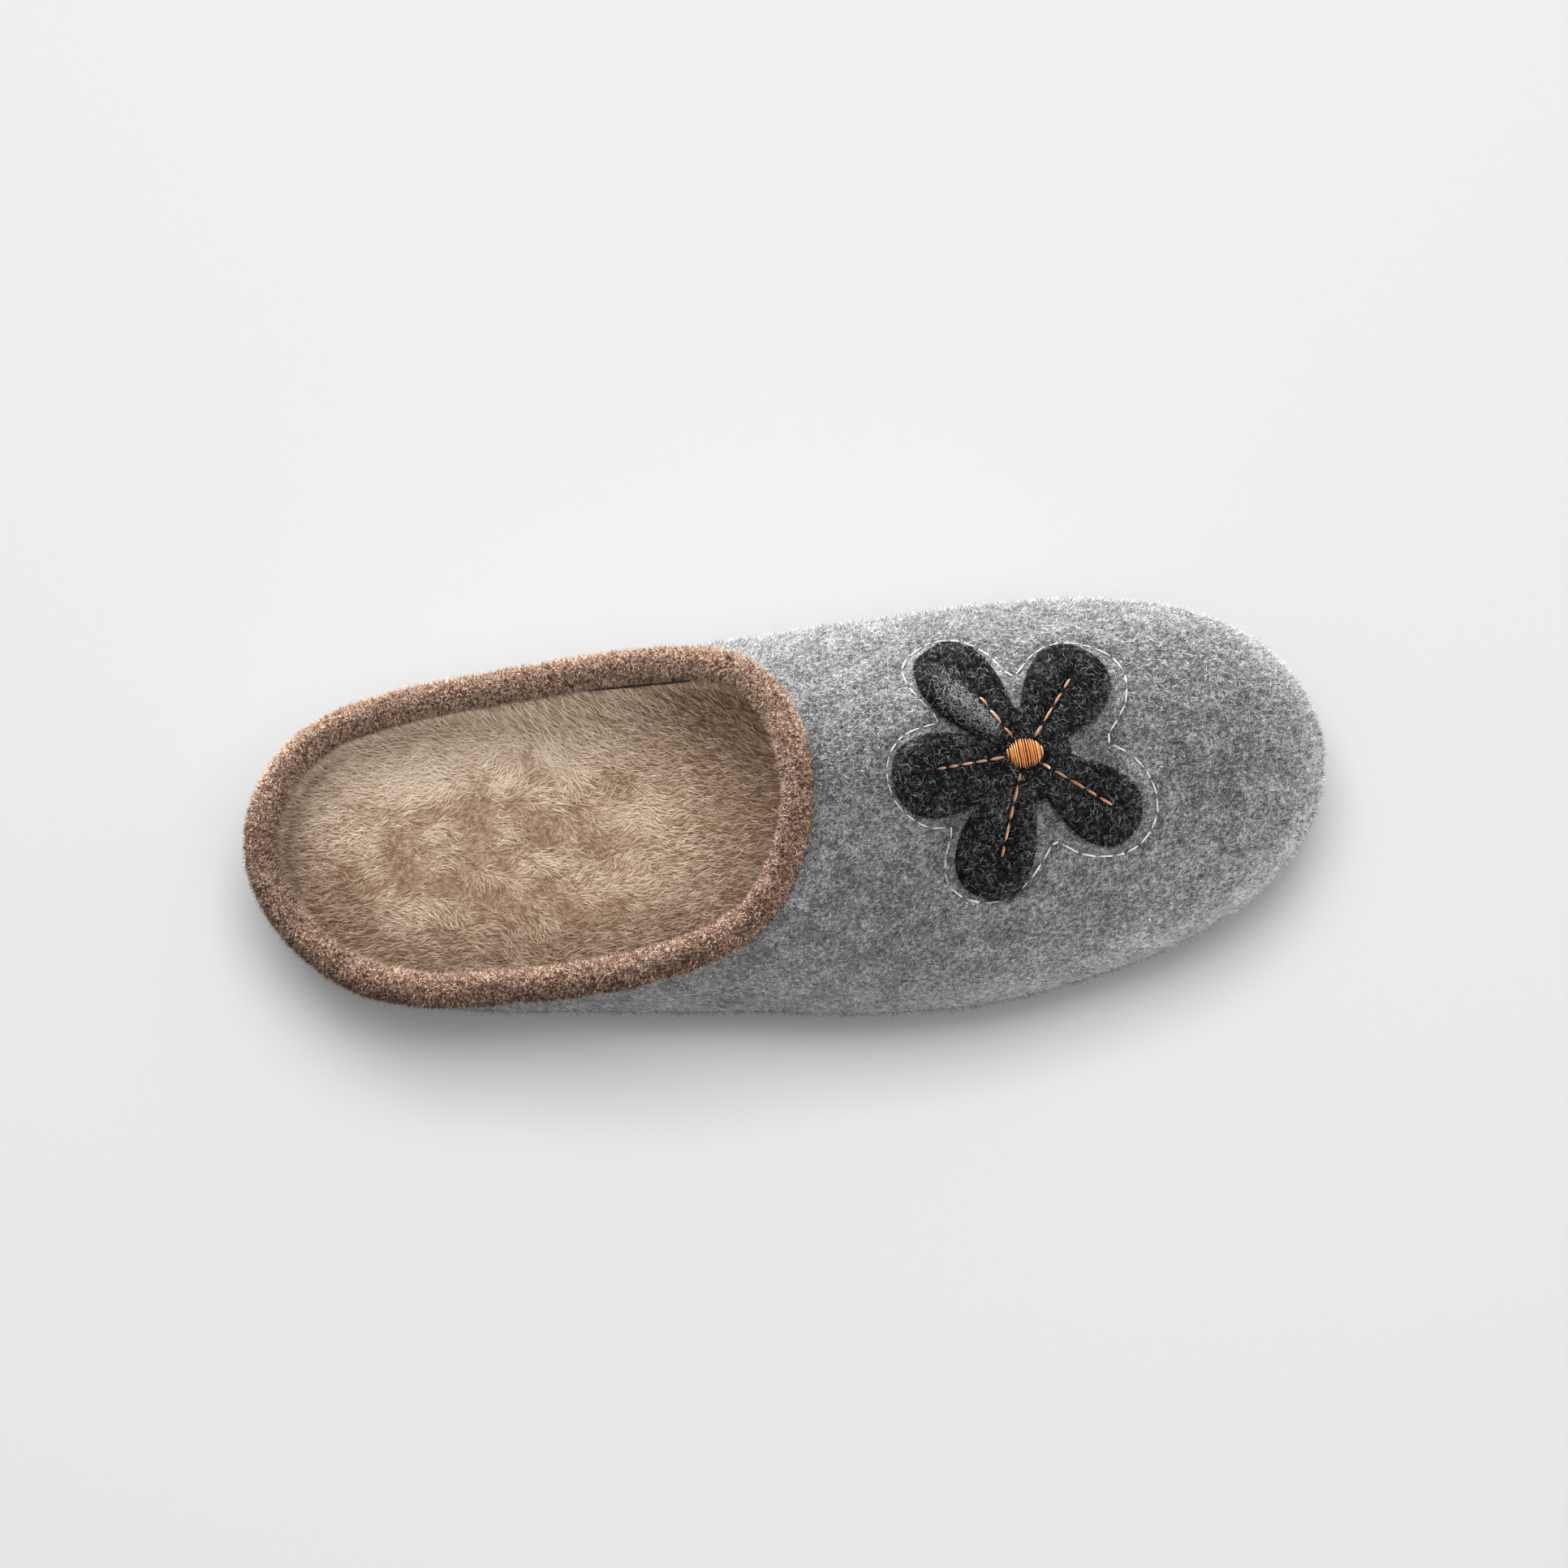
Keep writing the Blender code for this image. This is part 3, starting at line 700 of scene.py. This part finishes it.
BROWN_THREAD = thread_finish("brown_thread", (132, 90, 64), (180, 132, 100), (220, 180, 148))
# dark thread for the slit's painted shadow
SLIT_SHADOW_THREAD = thread_finish("dark_thread", (20, 14, 11), (36, 25, 20), (60, 44, 36), 0.9)
WHITE_THREAD = thread_finish("white_thread", (196, 196, 196), (224, 224, 224), (244, 244, 244))
ORANGE_THREAD = thread_finish("orange_thread", (150, 80, 30), (208, 132, 64), (238, 180, 116), 0.45)
SOLE_RUBBER = rubber_finish()


# Felt upper

SPINE_BACK = -0.10
SPINE_FRONT = 0.09
SPINE_HEIGHT = 0.028
VAMP_LOW = 0.02
SEAM_REACHES = (0.012, 0.007, 0.004)
UPPER_BUMPS = ((0.00035, 0.022, 1), (0.00018, 0.009, 2))
GROOVE_DEPTH = 0.0004
GROOVE_WIDTH = 0.0011
PUFF_HEIGHT = 0.00025
PUFF_AT = 0.0030
PUFF_WIDTH = 0.0017


def outer_faces(points, normals):
    """True where the felt's own outer face is, and not its inner face."""
    spine = np.zeros(points.shape)
    spine[:, 0] = np.clip(points[:, 0], SPINE_BACK, SPINE_FRONT)
    spine[:, 2] = SPINE_HEIGHT
    return ((points - spine) * normals).sum(1) > 0


def refine(mesh, reach):
    """Splits the outer faces near the white seam, so that its groove is shape and not shading."""
    with edited(mesh) as shape:
        middles = np.array([face.calc_center_median() for face in shape.faces])
        ways = np.array([face.normal for face in shape.faces])
        near = outer_faces(middles, ways) & (middles[:, 2] > VAMP_LOW)
        near &= plan_gap(middles, SEAM[::4]) < reach
        edges = {edge for face, chosen in zip(shape.faces, near) if chosen for edge in face.edges}
        bmesh.ops.subdivide_edges(shape, edges=list(edges), cuts=1, use_grid_fill=True)


def make_upper():
    """The felt shell: pressed along the seam, puffed beside it, with slow unevenness."""
    piece = smooth_copy("upper_felt", "upper", 1)
    mesh = piece.data
    for reach in SEAM_REACHES:
        refine(mesh, reach)
    points, normals = shape_of(piece)
    outer = outer_faces(points, normals)
    lift = uneven(points, UPPER_BUMPS)
    near = outer & (points[:, 2] > VAMP_LOW) & (points[:, 0] > 0.0)
    gap = plan_gap(points[near], SEAM)
    groove = -GROOVE_DEPTH * np.exp(-((gap / GROOVE_WIDTH) ** 2))
    puff = PUFF_HEIGHT * np.exp(-(((gap - PUFF_AT) / PUFF_WIDTH) ** 2))
    lift[near] += groove + puff
    move_points(mesh, points + normals * (lift * outer)[:, None])
    mesh.shade_smooth()
    mesh.materials.append(GREY_FELT)
    mesh.materials.append(PLUSH_CLOTH)
    middles = np.array([polygon.center for polygon in mesh.polygons])
    ways = np.array([polygon.normal for polygon in mesh.polygons])
    inside = ~outer_faces(middles, ways)
    mesh.polygons.foreach_set("material_index", inside.astype(np.int32))
    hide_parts("upper")
    finish_piece(piece, "upper_felt")
    return piece


STRAND_BLADE = blade("strand_blade", 0.045, (0.95, 0.26))
NAP_BLADE = blade("nap_blade", 0.075, (0.92, 0.38))
TUFT_BLADE = blade("tuft_blade", 0.085, (0.80, 0.60))
PILE_BLADE = bent_blade("pile_blade", 0.031, (0.36, 0.36), (1.0, 0.50))
FUZZ_BLADE = bent_blade("fuzz_blade", 0.014, (0.20, 0.42), (0.60, 0.80))
FELT_FUZZ = bent_blade("felt_fuzz", 0.026, (0.20, 0.42), (0.60, 0.80))
CURLED_HAIR = curled_hair("curled_hair", 0.015)

TOE_NAP = Coat("toe_nap", "upper_felt", STRAND_BLADE, GREY_NAP, 5, 6.6e6, 0.0021, 0.6, 0.6)
SIDE_NAP = TOE_NAP._replace(name="side_nap", seed=6)
UPPER_FUZZ = Coat("upper_fuzz", "upper_felt", FELT_FUZZ, GREY_FUZZ, 7, 3.4e6, 0.0020, 0.8, 0.2)
COLLAR_NAP = Coat("collar_nap", "binding_felt", TUFT_BLADE, BROWN_NAP, 9, 17.0e6, 0.0013, 0.8)
COLLAR_FUZZ = Coat("collar_fuzz", "binding_felt", FUZZ_BLADE, BROWN_NAP, 10, 4.5e6, 0.0019, 0.7)
FOOTBED_PILE = Coat("footbed_pile", "plush", PILE_BLADE, PLUSH_PILE, 12, 5.6e6, 0.0043, 0.32, 1.0, 0.55, 0.5)
LINING_PILE = Coat("lining_pile", "plush", PILE_BLADE, PLUSH_PILE, 13, 4.4e6, 0.0052, 0.30, 1.0, 0.4, 0.5)
FLOWER_NAP = Coat("flower_nap", "flower_felt", NAP_BLADE, BLACK_NAP, 15, 16.0e6, 0.0010, 0.5)
FLOWER_HAIRS = Coat("flower_hairs", "flower_felt", CURLED_HAIR, PALE_HAIR, 18, 4.4e6, 0.0020, 0.3)

# Painted light and painted shade on the felt's nap, a paler place by the throat and a darker one at the toe:
# along, across, the length and width each fades over, and shift of tone
PAINTED_LIGHT_PATCHES = ((0.020, 0.0, 0.024, 0.026, 0.20), (0.108, 0.008, 0.016, 0.020, -0.12))
UNDER_ROLL = 0.026
ROLL_CLEAR = 0.0006
SEAM_BARE = 0.0001
SEAM_FADE = 0.0007
OUTER_LAY = 43
INNER_LAY = -26
TOE_FROM = 0.045
STEEP_NAP_SHADE = -0.30
STEEP_FUZZ_SHADE = -0.40


def grow_upper_nap(upper, roll):
    """Short nap on the outside of the shell, in two pieces, and longer fuzz that stands thick on the inner
    side and the toe, with painted sheen there. Both have painted shade where the felt slopes steeply, most on
    the outer side."""
    points, normals = shape_of(upper)
    along, across, height = points.T
    shown = outer_faces(points, normals) & (normals[:, 2] > -0.85)
    shown &= (height < UNDER_ROLL) | clear_of(points, roll, ROLL_CLEAR)
    seam = np.where(height > VAMP_LOW, plan_gap(points, SEAM[::4]), 1.0)
    cover = shown * ease((seam - SEAM_BARE) / SEAM_FADE)
    turn = np.radians(OUTER_LAY + (INNER_LAY - OUTER_LAY) * ease((across + 0.005) / 0.035))
    lay = np.zeros(points.shape)
    lay[:, :2] = (1 + 1.5 * ease(-across / 0.03))[:, None] * heading(turn)
    toe_side = ease((normals[:, 0] - 0.2) / 0.4)
    inner_side = ease((normals[:, 1] + 0.05) / 0.5)
    outer_side = ease(-normals[:, 1] / 0.4) * (1 - toe_side)
    raised_and_sheen = np.maximum(inner_side, toe_side)
    # painted shade where the felt slopes steeply, deeper on the outer side
    steep_shade = ease((0.20 + 0.25 * outer_side - normals[:, 2]) / 0.3)
    tone = STEEP_NAP_SHADE * steep_shade
    # painted light by the throat and painted shade at the toe
    for patch_along, patch_across, length, width, shift in PAINTED_LIGHT_PATCHES:
        off = ((along - patch_along) / length) ** 2 + ((across - patch_across) / width) ** 2
        tone += shift * np.exp(-off)
    grow_coat(TOE_NAP, upper, cover * (along > TOE_FROM), lay, tone)
    grow_coat(SIDE_NAP, upper, cover * (along <= TOE_FROM), lay, tone)
    # painted sheen: the fuzz paler on the inner side and the toe, with painted shade where the felt slopes
    # steeply
    tone = 0.35 * raised_and_sheen - 0.25 + STEEP_FUZZ_SHADE * steep_shade
    grow_coat(UPPER_FUZZ, upper, cover * (0.3 + 0.7 * raised_and_sheen), lay, tone)


# Collar roll

ROLL_BUMPS = ((0.00030, 0.006, 3), (0.00018, 0.0025, 4))
WALL_CLEAR = 0.0012
OPENING = (-0.095, -0.03)


def make_roll():
    piece = smooth_copy("collar_felt", "collar_binding", 1)
    mesh = piece.data
    points, normals = shape_of(piece)
    move_points(mesh, points + normals * uneven(points, ROLL_BUMPS)[:, None])
    mesh.materials.append(BROWN_FELT)
    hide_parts("collar_binding")
    finish_piece(piece, "binding_felt")
    return piece


def grow_roll_nap(roll, wall):
    """Tufty nap and longer fuzz on the roll, away from the slot that holds the collar's edge. Their tone has
    painted light where the roll turns into the opening, on the inner side's outer face and at the heel end,
    and painted shade where it turns out on the outer side."""
    points, normals = shape_of(roll)
    cover = clear_of(points, wall, WALL_CLEAR)
    middle = np.column_stack([np.clip(points[:, 0], *OPENING), np.zeros(len(points))])
    turned = (normals[:, :2] * unit(middle - points[:, :2])).sum(1)
    inner_side = ease((points[:, 1] - 0.002) / 0.015)
    # painted light and painted shade by which way the roll faces
    tone = turned * np.where(turned > 0, 0.10 + 0.20 * inner_side, 0.32 - 0.62 * inner_side)
    # painted light at the heel end
    tone += 0.14 * ease((-0.100 - points[:, 0]) / 0.02)
    for coat in (COLLAR_NAP, COLLAR_FUZZ):
        grow_coat(coat, roll, cover, NO_LAY, tone)


# Plush footbed and lining

WORN_AT = (-0.066, -0.001)
WORN_LENGTH = 0.038
WORN_WIDTH = 0.024
SWIRL = math.radians(85)
COMB_SOFT = 5
TIP_REACH = 0.0024
PLUSH_STREAKS = ((0.04, 0.012, 8), (0.10, 0.0035, 9))
PAD_BUMPS = ((0.0007, 0.013, 10),)
CLUMP_DEPTH = 0.0030
LINING_LAY = (0.7, 0.0, -0.7)


def comb_at(points):
    """The way the pile lies, blended from the listed places, with swirls where feet have stood."""
    ways = np.zeros((len(points), 3))
    for along, across, degrees in COMBED:
        gap = ((1000 * points[:, :2] - (along, across)) ** 2).sum(1)
        ways[:, :2] += heading(math.radians(degrees)) / (gap + COMB_SOFT**2)[:, None] ** 1.5
    ways = unit(ways)
    away = np.hypot((points[:, 0] - WORN_AT[0]) / WORN_LENGTH, (points[:, 1] - WORN_AT[1]) / WORN_WIDTH)
    swirl = SWIRL * lumps(points, 0.0065, 19) * ease(1.6 - away)
    across = np.column_stack([-ways[:, 1], ways[:, 0], ways[:, 2]])
    return ways * np.cos(swirl)[:, None] + across * np.sin(swirl)[:, None]


def tuft_lift_and_painted_light(points):
    """Tone of the listed clumps and tufts, with wandering edges: painted shade and painted light, whose
    values also press the pad in.
    """
    wander = 0.0018 * np.column_stack([lumps(points, 0.0032, seed) for seed in (16, 17)])
    places = 1000 * (points[:, :2] + wander)
    tone = np.zeros(len(points))
    for along, across, radius, shift in TUFTS_PAINTED:
        gap = ((places - (along, across)) ** 2).sum(1)
        tone += shift * np.exp(-((gap / radius**2) ** 2.5))
    return tone


def plush_tone_and_painted_light(points):
    """Tone of the plush: slow random streaks all over, painted shade and light of the clumps, and painted
    shade under the vamp.
    """
    # painted shade under the vamp
    painted_vamp_shade = 0.47 * ease((points[:, 0] + 0.045) / 0.05)
    return 1.6 * tuft_lift_and_painted_light(points) + uneven(points, PLUSH_STREAKS) - painted_vamp_shade


def pressed_pad(name, levels):
    """The footbed's pad, uneven on top and pressed in at the clumps."""
    piece = smooth_copy(name, "insole", levels)
    points, normals = shape_of(piece)
    top = ease((normals[:, 2] - 0.4) / 0.4)
    lift = uneven(points, PAD_BUMPS) + CLUMP_DEPTH * tuft_lift_and_painted_light(points)
    move_points(piece.data, points + normals * (lift * top)[:, None])
    return piece


def make_footbed():
    piece = pressed_pad("footbed_pad", 2)
    piece.data.materials.append(PLUSH_CLOTH)
    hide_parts("insole")
    finish_piece(piece, "plush")


LINING_THICK = 0.0026
LINING_FILLET = 0.0045
FILLET_TOP = 0.036
FOOTBED_TOP = 0.015
FOOTBED_LOW = 0.009
SLIT_START = -0.050
SLIT_END = -0.019
SLIT_WIDTH = 0.0030
SLIT_CLEAR = 0.0004
SLIT_DROP = 0.0004
SLIT_PIECES = 3
SLIT_THICK = 0.0007


def slit_at(points):
    """Where the lining has come away from the roll on the inner side."""
    stretch = ease((points[:, 0] - SLIT_START) / 0.006) * ease((SLIT_END - points[:, 0]) / 0.006)
    return stretch * (points[:, 1] > 0)


def pad_lining(upper, roll):
    """Fills the shell's inside out to a plush lining, level with the roll and rounded into the footbed."""
    points, normals = shape_of(upper)
    gaps = gap_to(roll, points)
    fillet = 1 - ease((points[:, 2] - FOOTBED_TOP) / (FILLET_TOP - FOOTBED_TOP))
    push = LINING_THICK + LINING_FILLET * fillet
    push *= ease((points[:, 2] - FOOTBED_LOW) / (FOOTBED_TOP - FOOTBED_LOW))
    push *= ease((gaps - 0.0010 - SLIT_WIDTH * slit_at(points)) / 0.0025)
    push *= (1 - ease((points[:, 0] - 0.015) / 0.03)) * ~outer_faces(points, normals)
    push *= 0.25 + 0.75 * ease((points[:, 0] + 0.090) / 0.03) * ease(points[:, 1] / 0.015)
    move_points(upper.data, points + normals * push[:, None])


def wall_painted_light(points):
    """Painted light and shade of the plush on and by the wall: painted light at the inner side, painted
    shade, browner, at the outer side and the throat.
    """
    inner_side = ease((points[:, 1] + 0.01) / 0.03)
    return 0.28 * (2 * inner_side - 1) - 0.42 * ease((points[:, 0] + 0.065) / 0.05) * inner_side


def grow_footbed_pile(wall):
    """Long combed pile on the footbed, shorter and less combed in the clumps."""
    pad = pressed_pad("fine_pad", 3)
    points, normals = shape_of(pad)
    depth = 1 - 0.6 * ease((points[:, 0] - 0.01) / 0.03)
    cover = ease((normals[:, 2] - 0.3) / 0.3) * depth
    combed = comb_at(points)
    tips = points + TIP_REACH * combed
    clump = np.clip(-2.5 * tuft_lift_and_painted_light(tips), 0, 1)
    lay = combed * (1 - 0.6 * clump)[:, None]
    beside = 1 - ease((gap_to(wall, points) - 0.003) / 0.011)
    tone = plush_tone_and_painted_light(tips) + 0.06 + wall_painted_light(points) * beside
    grow_coat(FOOTBED_PILE, pad, cover, lay, tone, 1 - 0.4 * clump)
    bpy.data.objects.remove(pad)


def grow_lining_pile(upper, roll):
    """Combed pile on the lining, parted along a slit under the roll on the inner side."""
    points, normals = shape_of(upper)
    inside = ~outer_faces(points, normals) & (points[:, 2] > 0.0115)
    inside &= (points[:, 2] < 0.020) | clear_of(points, roll, WALL_CLEAR)
    depth = 1 - 0.85 * ease((points[:, 0] - 0.005) / 0.03)
    depth = depth * (1 - slit_at(points) * ~clear_of(points, roll, SLIT_WIDTH))
    grow_coat(LINING_PILE, upper, inside * depth, LINING_LAY, plush_tone_and_painted_light(points) + wall_painted_light(points))


def make_slit_shadow(roll):
    """A dark strip of thread along the slit, close under the roll: a painted shadow where there is shade."""
    points = points_of(roll.data)
    stations = np.linspace(SLIT_START, SLIT_END, 9)
    edge = []
    for along in stations:
        near = points[(np.abs(points[:, 0] - along) < 0.004) & (points[:, 1] > 0)]
        edge.append(near[near[:, 1].argmin(), 1:])
    across, up = [np.polynomial.Polynomial.fit(stations, values, 1) for values in np.array(edge).T]
    ends = np.linspace(SLIT_START + 0.004, SLIT_END - 0.003, SLIT_PIECES + 1)
    path = np.column_stack([ends, across(ends) - SLIT_CLEAR, up(ends) - SLIT_DROP])
    middles = (path[:-1] + path[1:]) / 2
    runs = 1.25 * np.diff(path, axis=0)
    ups = np.tile((0.0, -0.4, 0.9), (SLIT_PIECES, 1))
    piece = lay_stitches("slit_edge", middles, runs, ups, THREAD, SLIT_THICK, SLIT_SHADOW_THREAD, 42)
    finish_piece(piece, "plush")


# Flower


def vein_gap(points):
    """Distance in plan from each point to the nearest row of brown stitches."""
    gaps = np.full(len(points), 1.0)
    from_middle = points[:, :2] - np.array(FLOWER)
    for degrees, length in VEINS:
        way = heading(math.radians(degrees))
        along = np.clip(from_middle @ way, VEIN_START, length + 0.001)
        gaps = np.minimum(gaps, np.linalg.norm(from_middle - along[:, None] * way, axis=1))
    return gaps


FOLD_START = math.radians(122.0)
FOLD_SPAN = math.radians(36.0)
FOLD_HEIGHT = 0.0014
CROWN_HEIGHT = 0.0005
VEIN_DEPTH = 0.0004
VEIN_WIDTH = 0.0010
PETAL_BUMPS = ((0.00015, 0.004, 14),)


def make_flower():
    """The petals: pressed along their stitches, crowned between, and one folded up beside its stitches."""
    piece = smooth_copy("flower_felt", "flower_applique", 2)
    mesh = piece.data
    points, normals = shape_of(piece)
    top = ease((normals[:, 2] - 0.2) / 0.5)
    from_middle = points[:, :2] - np.array(FLOWER)
    angles = np.arctan2(from_middle[:, 1], from_middle[:, 0])
    reach = np.array([petal_reach(angle) for angle in angles])
    rim = reach - np.linalg.norm(from_middle, axis=1)
    turn = np.clip(((angles - FOLD_START) % math.tau) / FOLD_SPAN, 0, 1)
    share = 1 - rim / reach
    fold_lift_and_light = np.sin(math.pi * turn) ** 2 * ease((share - 0.18) / 0.2) * (1 - ease((share - 0.62) / 0.3))
    gap = vein_gap(points)
    lift = CROWN_HEIGHT * ease((gap - 0.0005) / 0.003) * ease(rim / 0.004)
    lift -= VEIN_DEPTH * np.exp(-((gap / VEIN_WIDTH) ** 2))
    lift += FOLD_HEIGHT * fold_lift_and_light + uneven(points, PETAL_BUMPS)
    move_points(mesh, points + normals * (lift * top)[:, None])
    mesh.materials.append(BLACK_FELT)
    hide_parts("flower_applique")
    finish_piece(piece, "flower_felt")
    cover = ease((normals[:, 2] + 0.2) / 0.3) * ease((gap - 0.0002) / 0.0008)
    # painted light on the folded petal's lit face: its nap and hairs paler there
    grow_coat(FLOWER_NAP, piece, cover, NO_LAY, 0.35 * fold_lift_and_light - 0.30)
    grow_coat(FLOWER_HAIRS, piece, cover * (0.5 + 0.5 * fold_lift_and_light), NO_LAY, 0.9 * fold_lift_and_light)
    return piece


def thread_shape(name, dip):
    """One stitch to repeat, a unit long and a unit thick. Its ends dip this far into the felt."""
    along = np.linspace(-0.5, 0.5, 7)
    sides = 6
    points, faces = [], []
    for place in along:
        bow = 1 - (2 * place) ** 4
        half = 0.5 * (0.35 + 0.65 * bow)
        for side in range(sides):
            turn = math.tau * side / sides
            points.append((place, half * math.cos(turn), half * math.sin(turn) + dip * (bow - 1)))
    for ring in range(len(along) - 1):
        for side in range(sides):
            ahead = (side + 1) % sides
            low, high = ring * sides, (ring + 1) * sides
            faces.append((low + side, high + side, high + ahead, low + ahead))
    faces.append(tuple(range(sides)))
    faces.append(tuple(reversed(range((len(along) - 1) * sides, len(along) * sides))))
    mesh = bpy.data.meshes.new(name)
    mesh.from_pydata(points, [], faces)
    with edited(mesh) as shape:
        bmesh.ops.recalc_face_normals(shape, faces=shape.faces)
    mesh.shade_smooth()
    return add_piece(name, mesh)


def on_top(tree, plan):
    """The place on a surface straight under this place in plan, and the surface's way up there."""
    hit, way, _, _ = tree.ray_cast(Vector((plan[0], plan[1], 0.2)), Vector((0, 0, -1)))
    return np.array(hit), np.array(way)


def lay_stitches(name, middles, runs, ups, shape, thickness, finish, seed):
    """Stitches of one shape, each with its middle, its run from end to end and its way up."""
    mesh = bpy.data.meshes.new(name)
    mesh.from_pydata([tuple(middle) for middle in middles], [], [])
    give(mesh, "run", np.array(runs))
    give(mesh, "up", np.array(ups))
    piece = add_piece(name, mesh)
    grow(piece, STITCHES, Stitch=shape, Thickness=thickness, Seed=seed, Finish=finish)
    piece.data.shade_smooth()
    return piece


def sew(name, spans, tree, shape, lift, thickness, finish, seed):
    """Stitches of one shape between pairs of places in plan, lying on a surface."""
    middles, runs, ups = [], [], []
    for start, end in spans:
        low, _ = on_top(tree, start)
        high, _ = on_top(tree, end)
        middle, up = on_top(tree, (np.asarray(start) + np.asarray(end)) / 2)
        middles.append(middle + up * lift)
        runs.append(high - low)
        ups.append(up)
    return lay_stitches(name, middles, runs, ups, shape, thickness, finish, seed)


def dashes(path, stitch, gap, wobble, rng):
    """Start and end places of stitches along a path, as uneven as hand work."""
    steps = np.linalg.norm(np.diff(path, axis=0), axis=1)
    place = np.concatenate([[0], np.cumsum(steps)])
    spans, at = [], 0.0
    while True:
        length = stitch * rng.uniform(1 - wobble, 1 + wobble)
        if at + length > place[-1]:
            return spans
        ends = (at, at + length)
        spans.append(np.column_stack([np.interp(ends, place, path[:, axis]) for axis in range(2)]))
        at += length + gap * rng.uniform(1 - wobble, 1 + wobble)


SEAM_STITCH = 0.0030
SEAM_GAP = 0.0009
VEIN_STITCH = 0.0032
VEIN_GAP = 0.0010
THREAD = thread_shape("stitch", 0.45)
SATIN_THREAD = thread_shape("satin_thread", 1.8)


def make_stitches(upper, flower):
    rng = np.random.default_rng(21)
    felt, petals = surface_of(upper), surface_of(flower)
    closed = np.vstack([SEAM, SEAM[:1]])
    spans = dashes(closed, SEAM_STITCH, SEAM_GAP, 0.4, rng)
    seam = sew("seam_stitches", spans, felt, THREAD, 0.00030, 0.00044, WHITE_THREAD, 22)
    finish_piece(seam, "flower_thread")
    spans = []
    for degrees, length in VEINS:
        steps = np.linspace(VEIN_START, length, 30)
        path = np.array(FLOWER) + steps[:, None] * heading(math.radians(degrees))
        spans += dashes(path, VEIN_STITCH, VEIN_GAP, 0.35, rng)
    veins = sew("vein_stitches", spans, petals, THREAD, 0.0004, 0.00072, BROWN_THREAD, 23)
    finish_piece(veins, "flower_thread")


SATIN_TURN = math.radians(96.5)
SATIN_LENGTH = 0.0084
SATIN_WIDTH = 0.0070
SATIN_THREADS = 15


def make_satin(flower):
    """The orange middle: threads side by side over a low dome."""
    rng = np.random.default_rng(31)
    petals = surface_of(flower)
    along = heading(SATIN_TURN)
    across = np.array([along[1], -along[0]])
    spans = []
    for thread in range(SATIN_THREADS):
        share = (thread + 0.5) / SATIN_THREADS * 2 - 1
        half = SATIN_WIDTH / 2 * math.sqrt(1 - share**2) * rng.uniform(0.94, 1.06)
        middle = np.array(FLOWER) + across * (share * SATIN_LENGTH / 2 + rng.uniform(-0.00008, 0.00008))
        spans.append((middle - along * half, middle + along * half))
    piece = sew("satin_middle", spans, petals, SATIN_THREAD, 0.0010, 0.00042, ORANGE_THREAD, 33)
    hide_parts("flower_centre")
    finish_piece(piece, "flower_thread")


# Sole

TREAD_DEPTH = 0.0010
TREAD_PITCH = 0.0075
TREAD_SWAY = 0.0040
TREAD_WAVE = 0.030
TREAD_BORDER = 0.005
TREAD_GRID = (0.00125, 0.003)
WAIST = (-0.052, -0.008)


def tread_at(points):
    """Share of the full groove at each place: swaying grooves across heel and forefoot, and a plain waist."""
    sway = TREAD_SWAY * np.sin(math.tau * points[:, 1] / TREAD_WAVE)
    rows = np.cos(math.tau * (points[:, 0] + sway) / TREAD_PITCH)
    waist = ease((points[:, 0] - WAIST[0]) / 0.002) * ease((WAIST[1] - points[:, 0]) / 0.002)
    return ease((rows - 0.15) / 0.5) * (1 - waist)


def cut_underside(mesh):
    """Cuts the underside into a grid that is fine enough for its grooves."""
    points = points_of(mesh)
    with edited(mesh) as shape:
        for axis, step in enumerate(TREAD_GRID):
            way = Vector((1.0, 0.0, 0.0)) if axis == 0 else Vector((0.0, 1.0, 0.0))
            for place in np.arange(points[:, axis].min() + step, points[:, axis].max(), step):
                faces = [face for face in shape.faces if face.normal.z < -0.9]
                faces = [face for face in faces if abs(face.calc_center_median()[axis] - place) < 0.02]
                edges = {edge for face in faces for edge in face.edges}
                corners = {corner for face in faces for corner in face.verts}
                geometry = [*corners, *edges, *faces]
                bmesh.ops.bisect_plane(shape, geom=geometry, plane_co=way * place, plane_no=way)


def make_sole():
    """The rubber sole with its tread pressed into the underside."""
    piece = smooth_copy("sole_rubber", "outsole", 1, sharp=math.radians(50))
    mesh = piece.data
    cut_underside(mesh)
    points, normals = shape_of(piece)
    border = plan_gap(points, points[np.abs(normals[:, 2]) < 0.4, :2])
    under = (normals[:, 2] < -0.9) * ease((border - TREAD_BORDER) / 0.0015)
    points[:, 2] += TREAD_DEPTH * tread_at(points) * under
    move_points(mesh, points)
    mesh.shade_smooth()
    mesh.materials.append(SOLE_RUBBER)
    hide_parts("outsole")
    finish_piece(piece, "outsole")


def dress():
    shoe, plush, ground = [bpy.data.collections.new(name) for name in ("shoe", "plush", "ground")]
    make_camera()
    make_studio(shoe, plush, ground)
    ground.objects.link(make_floor())
    upper = make_upper()
    roll = make_roll()
    roll_surface = surface_of(roll)
    grow_upper_nap(upper, roll_surface)
    grow_roll_nap(roll, surface_of(upper))
    make_footbed()
    pad_lining(upper, roll_surface)
    grow_footbed_pile(surface_of(upper))
    grow_lining_pile(upper, roll_surface)
    make_slit_shadow(roll)
    flower = make_flower()
    make_stitches(upper, flower)
    make_satin(flower)
    make_sole()
    blades = (STRAND_BLADE, NAP_BLADE, TUFT_BLADE, PILE_BLADE, FUZZ_BLADE, FELT_FUZZ, CURLED_HAIR)
    for helper in (*blades, THREAD, SATIN_THREAD):
        bpy.data.objects.remove(helper)
    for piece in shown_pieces():
        shoe.objects.link(piece)
        if piece.get("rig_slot") == "plush":
            plush.objects.link(piece)


dress()
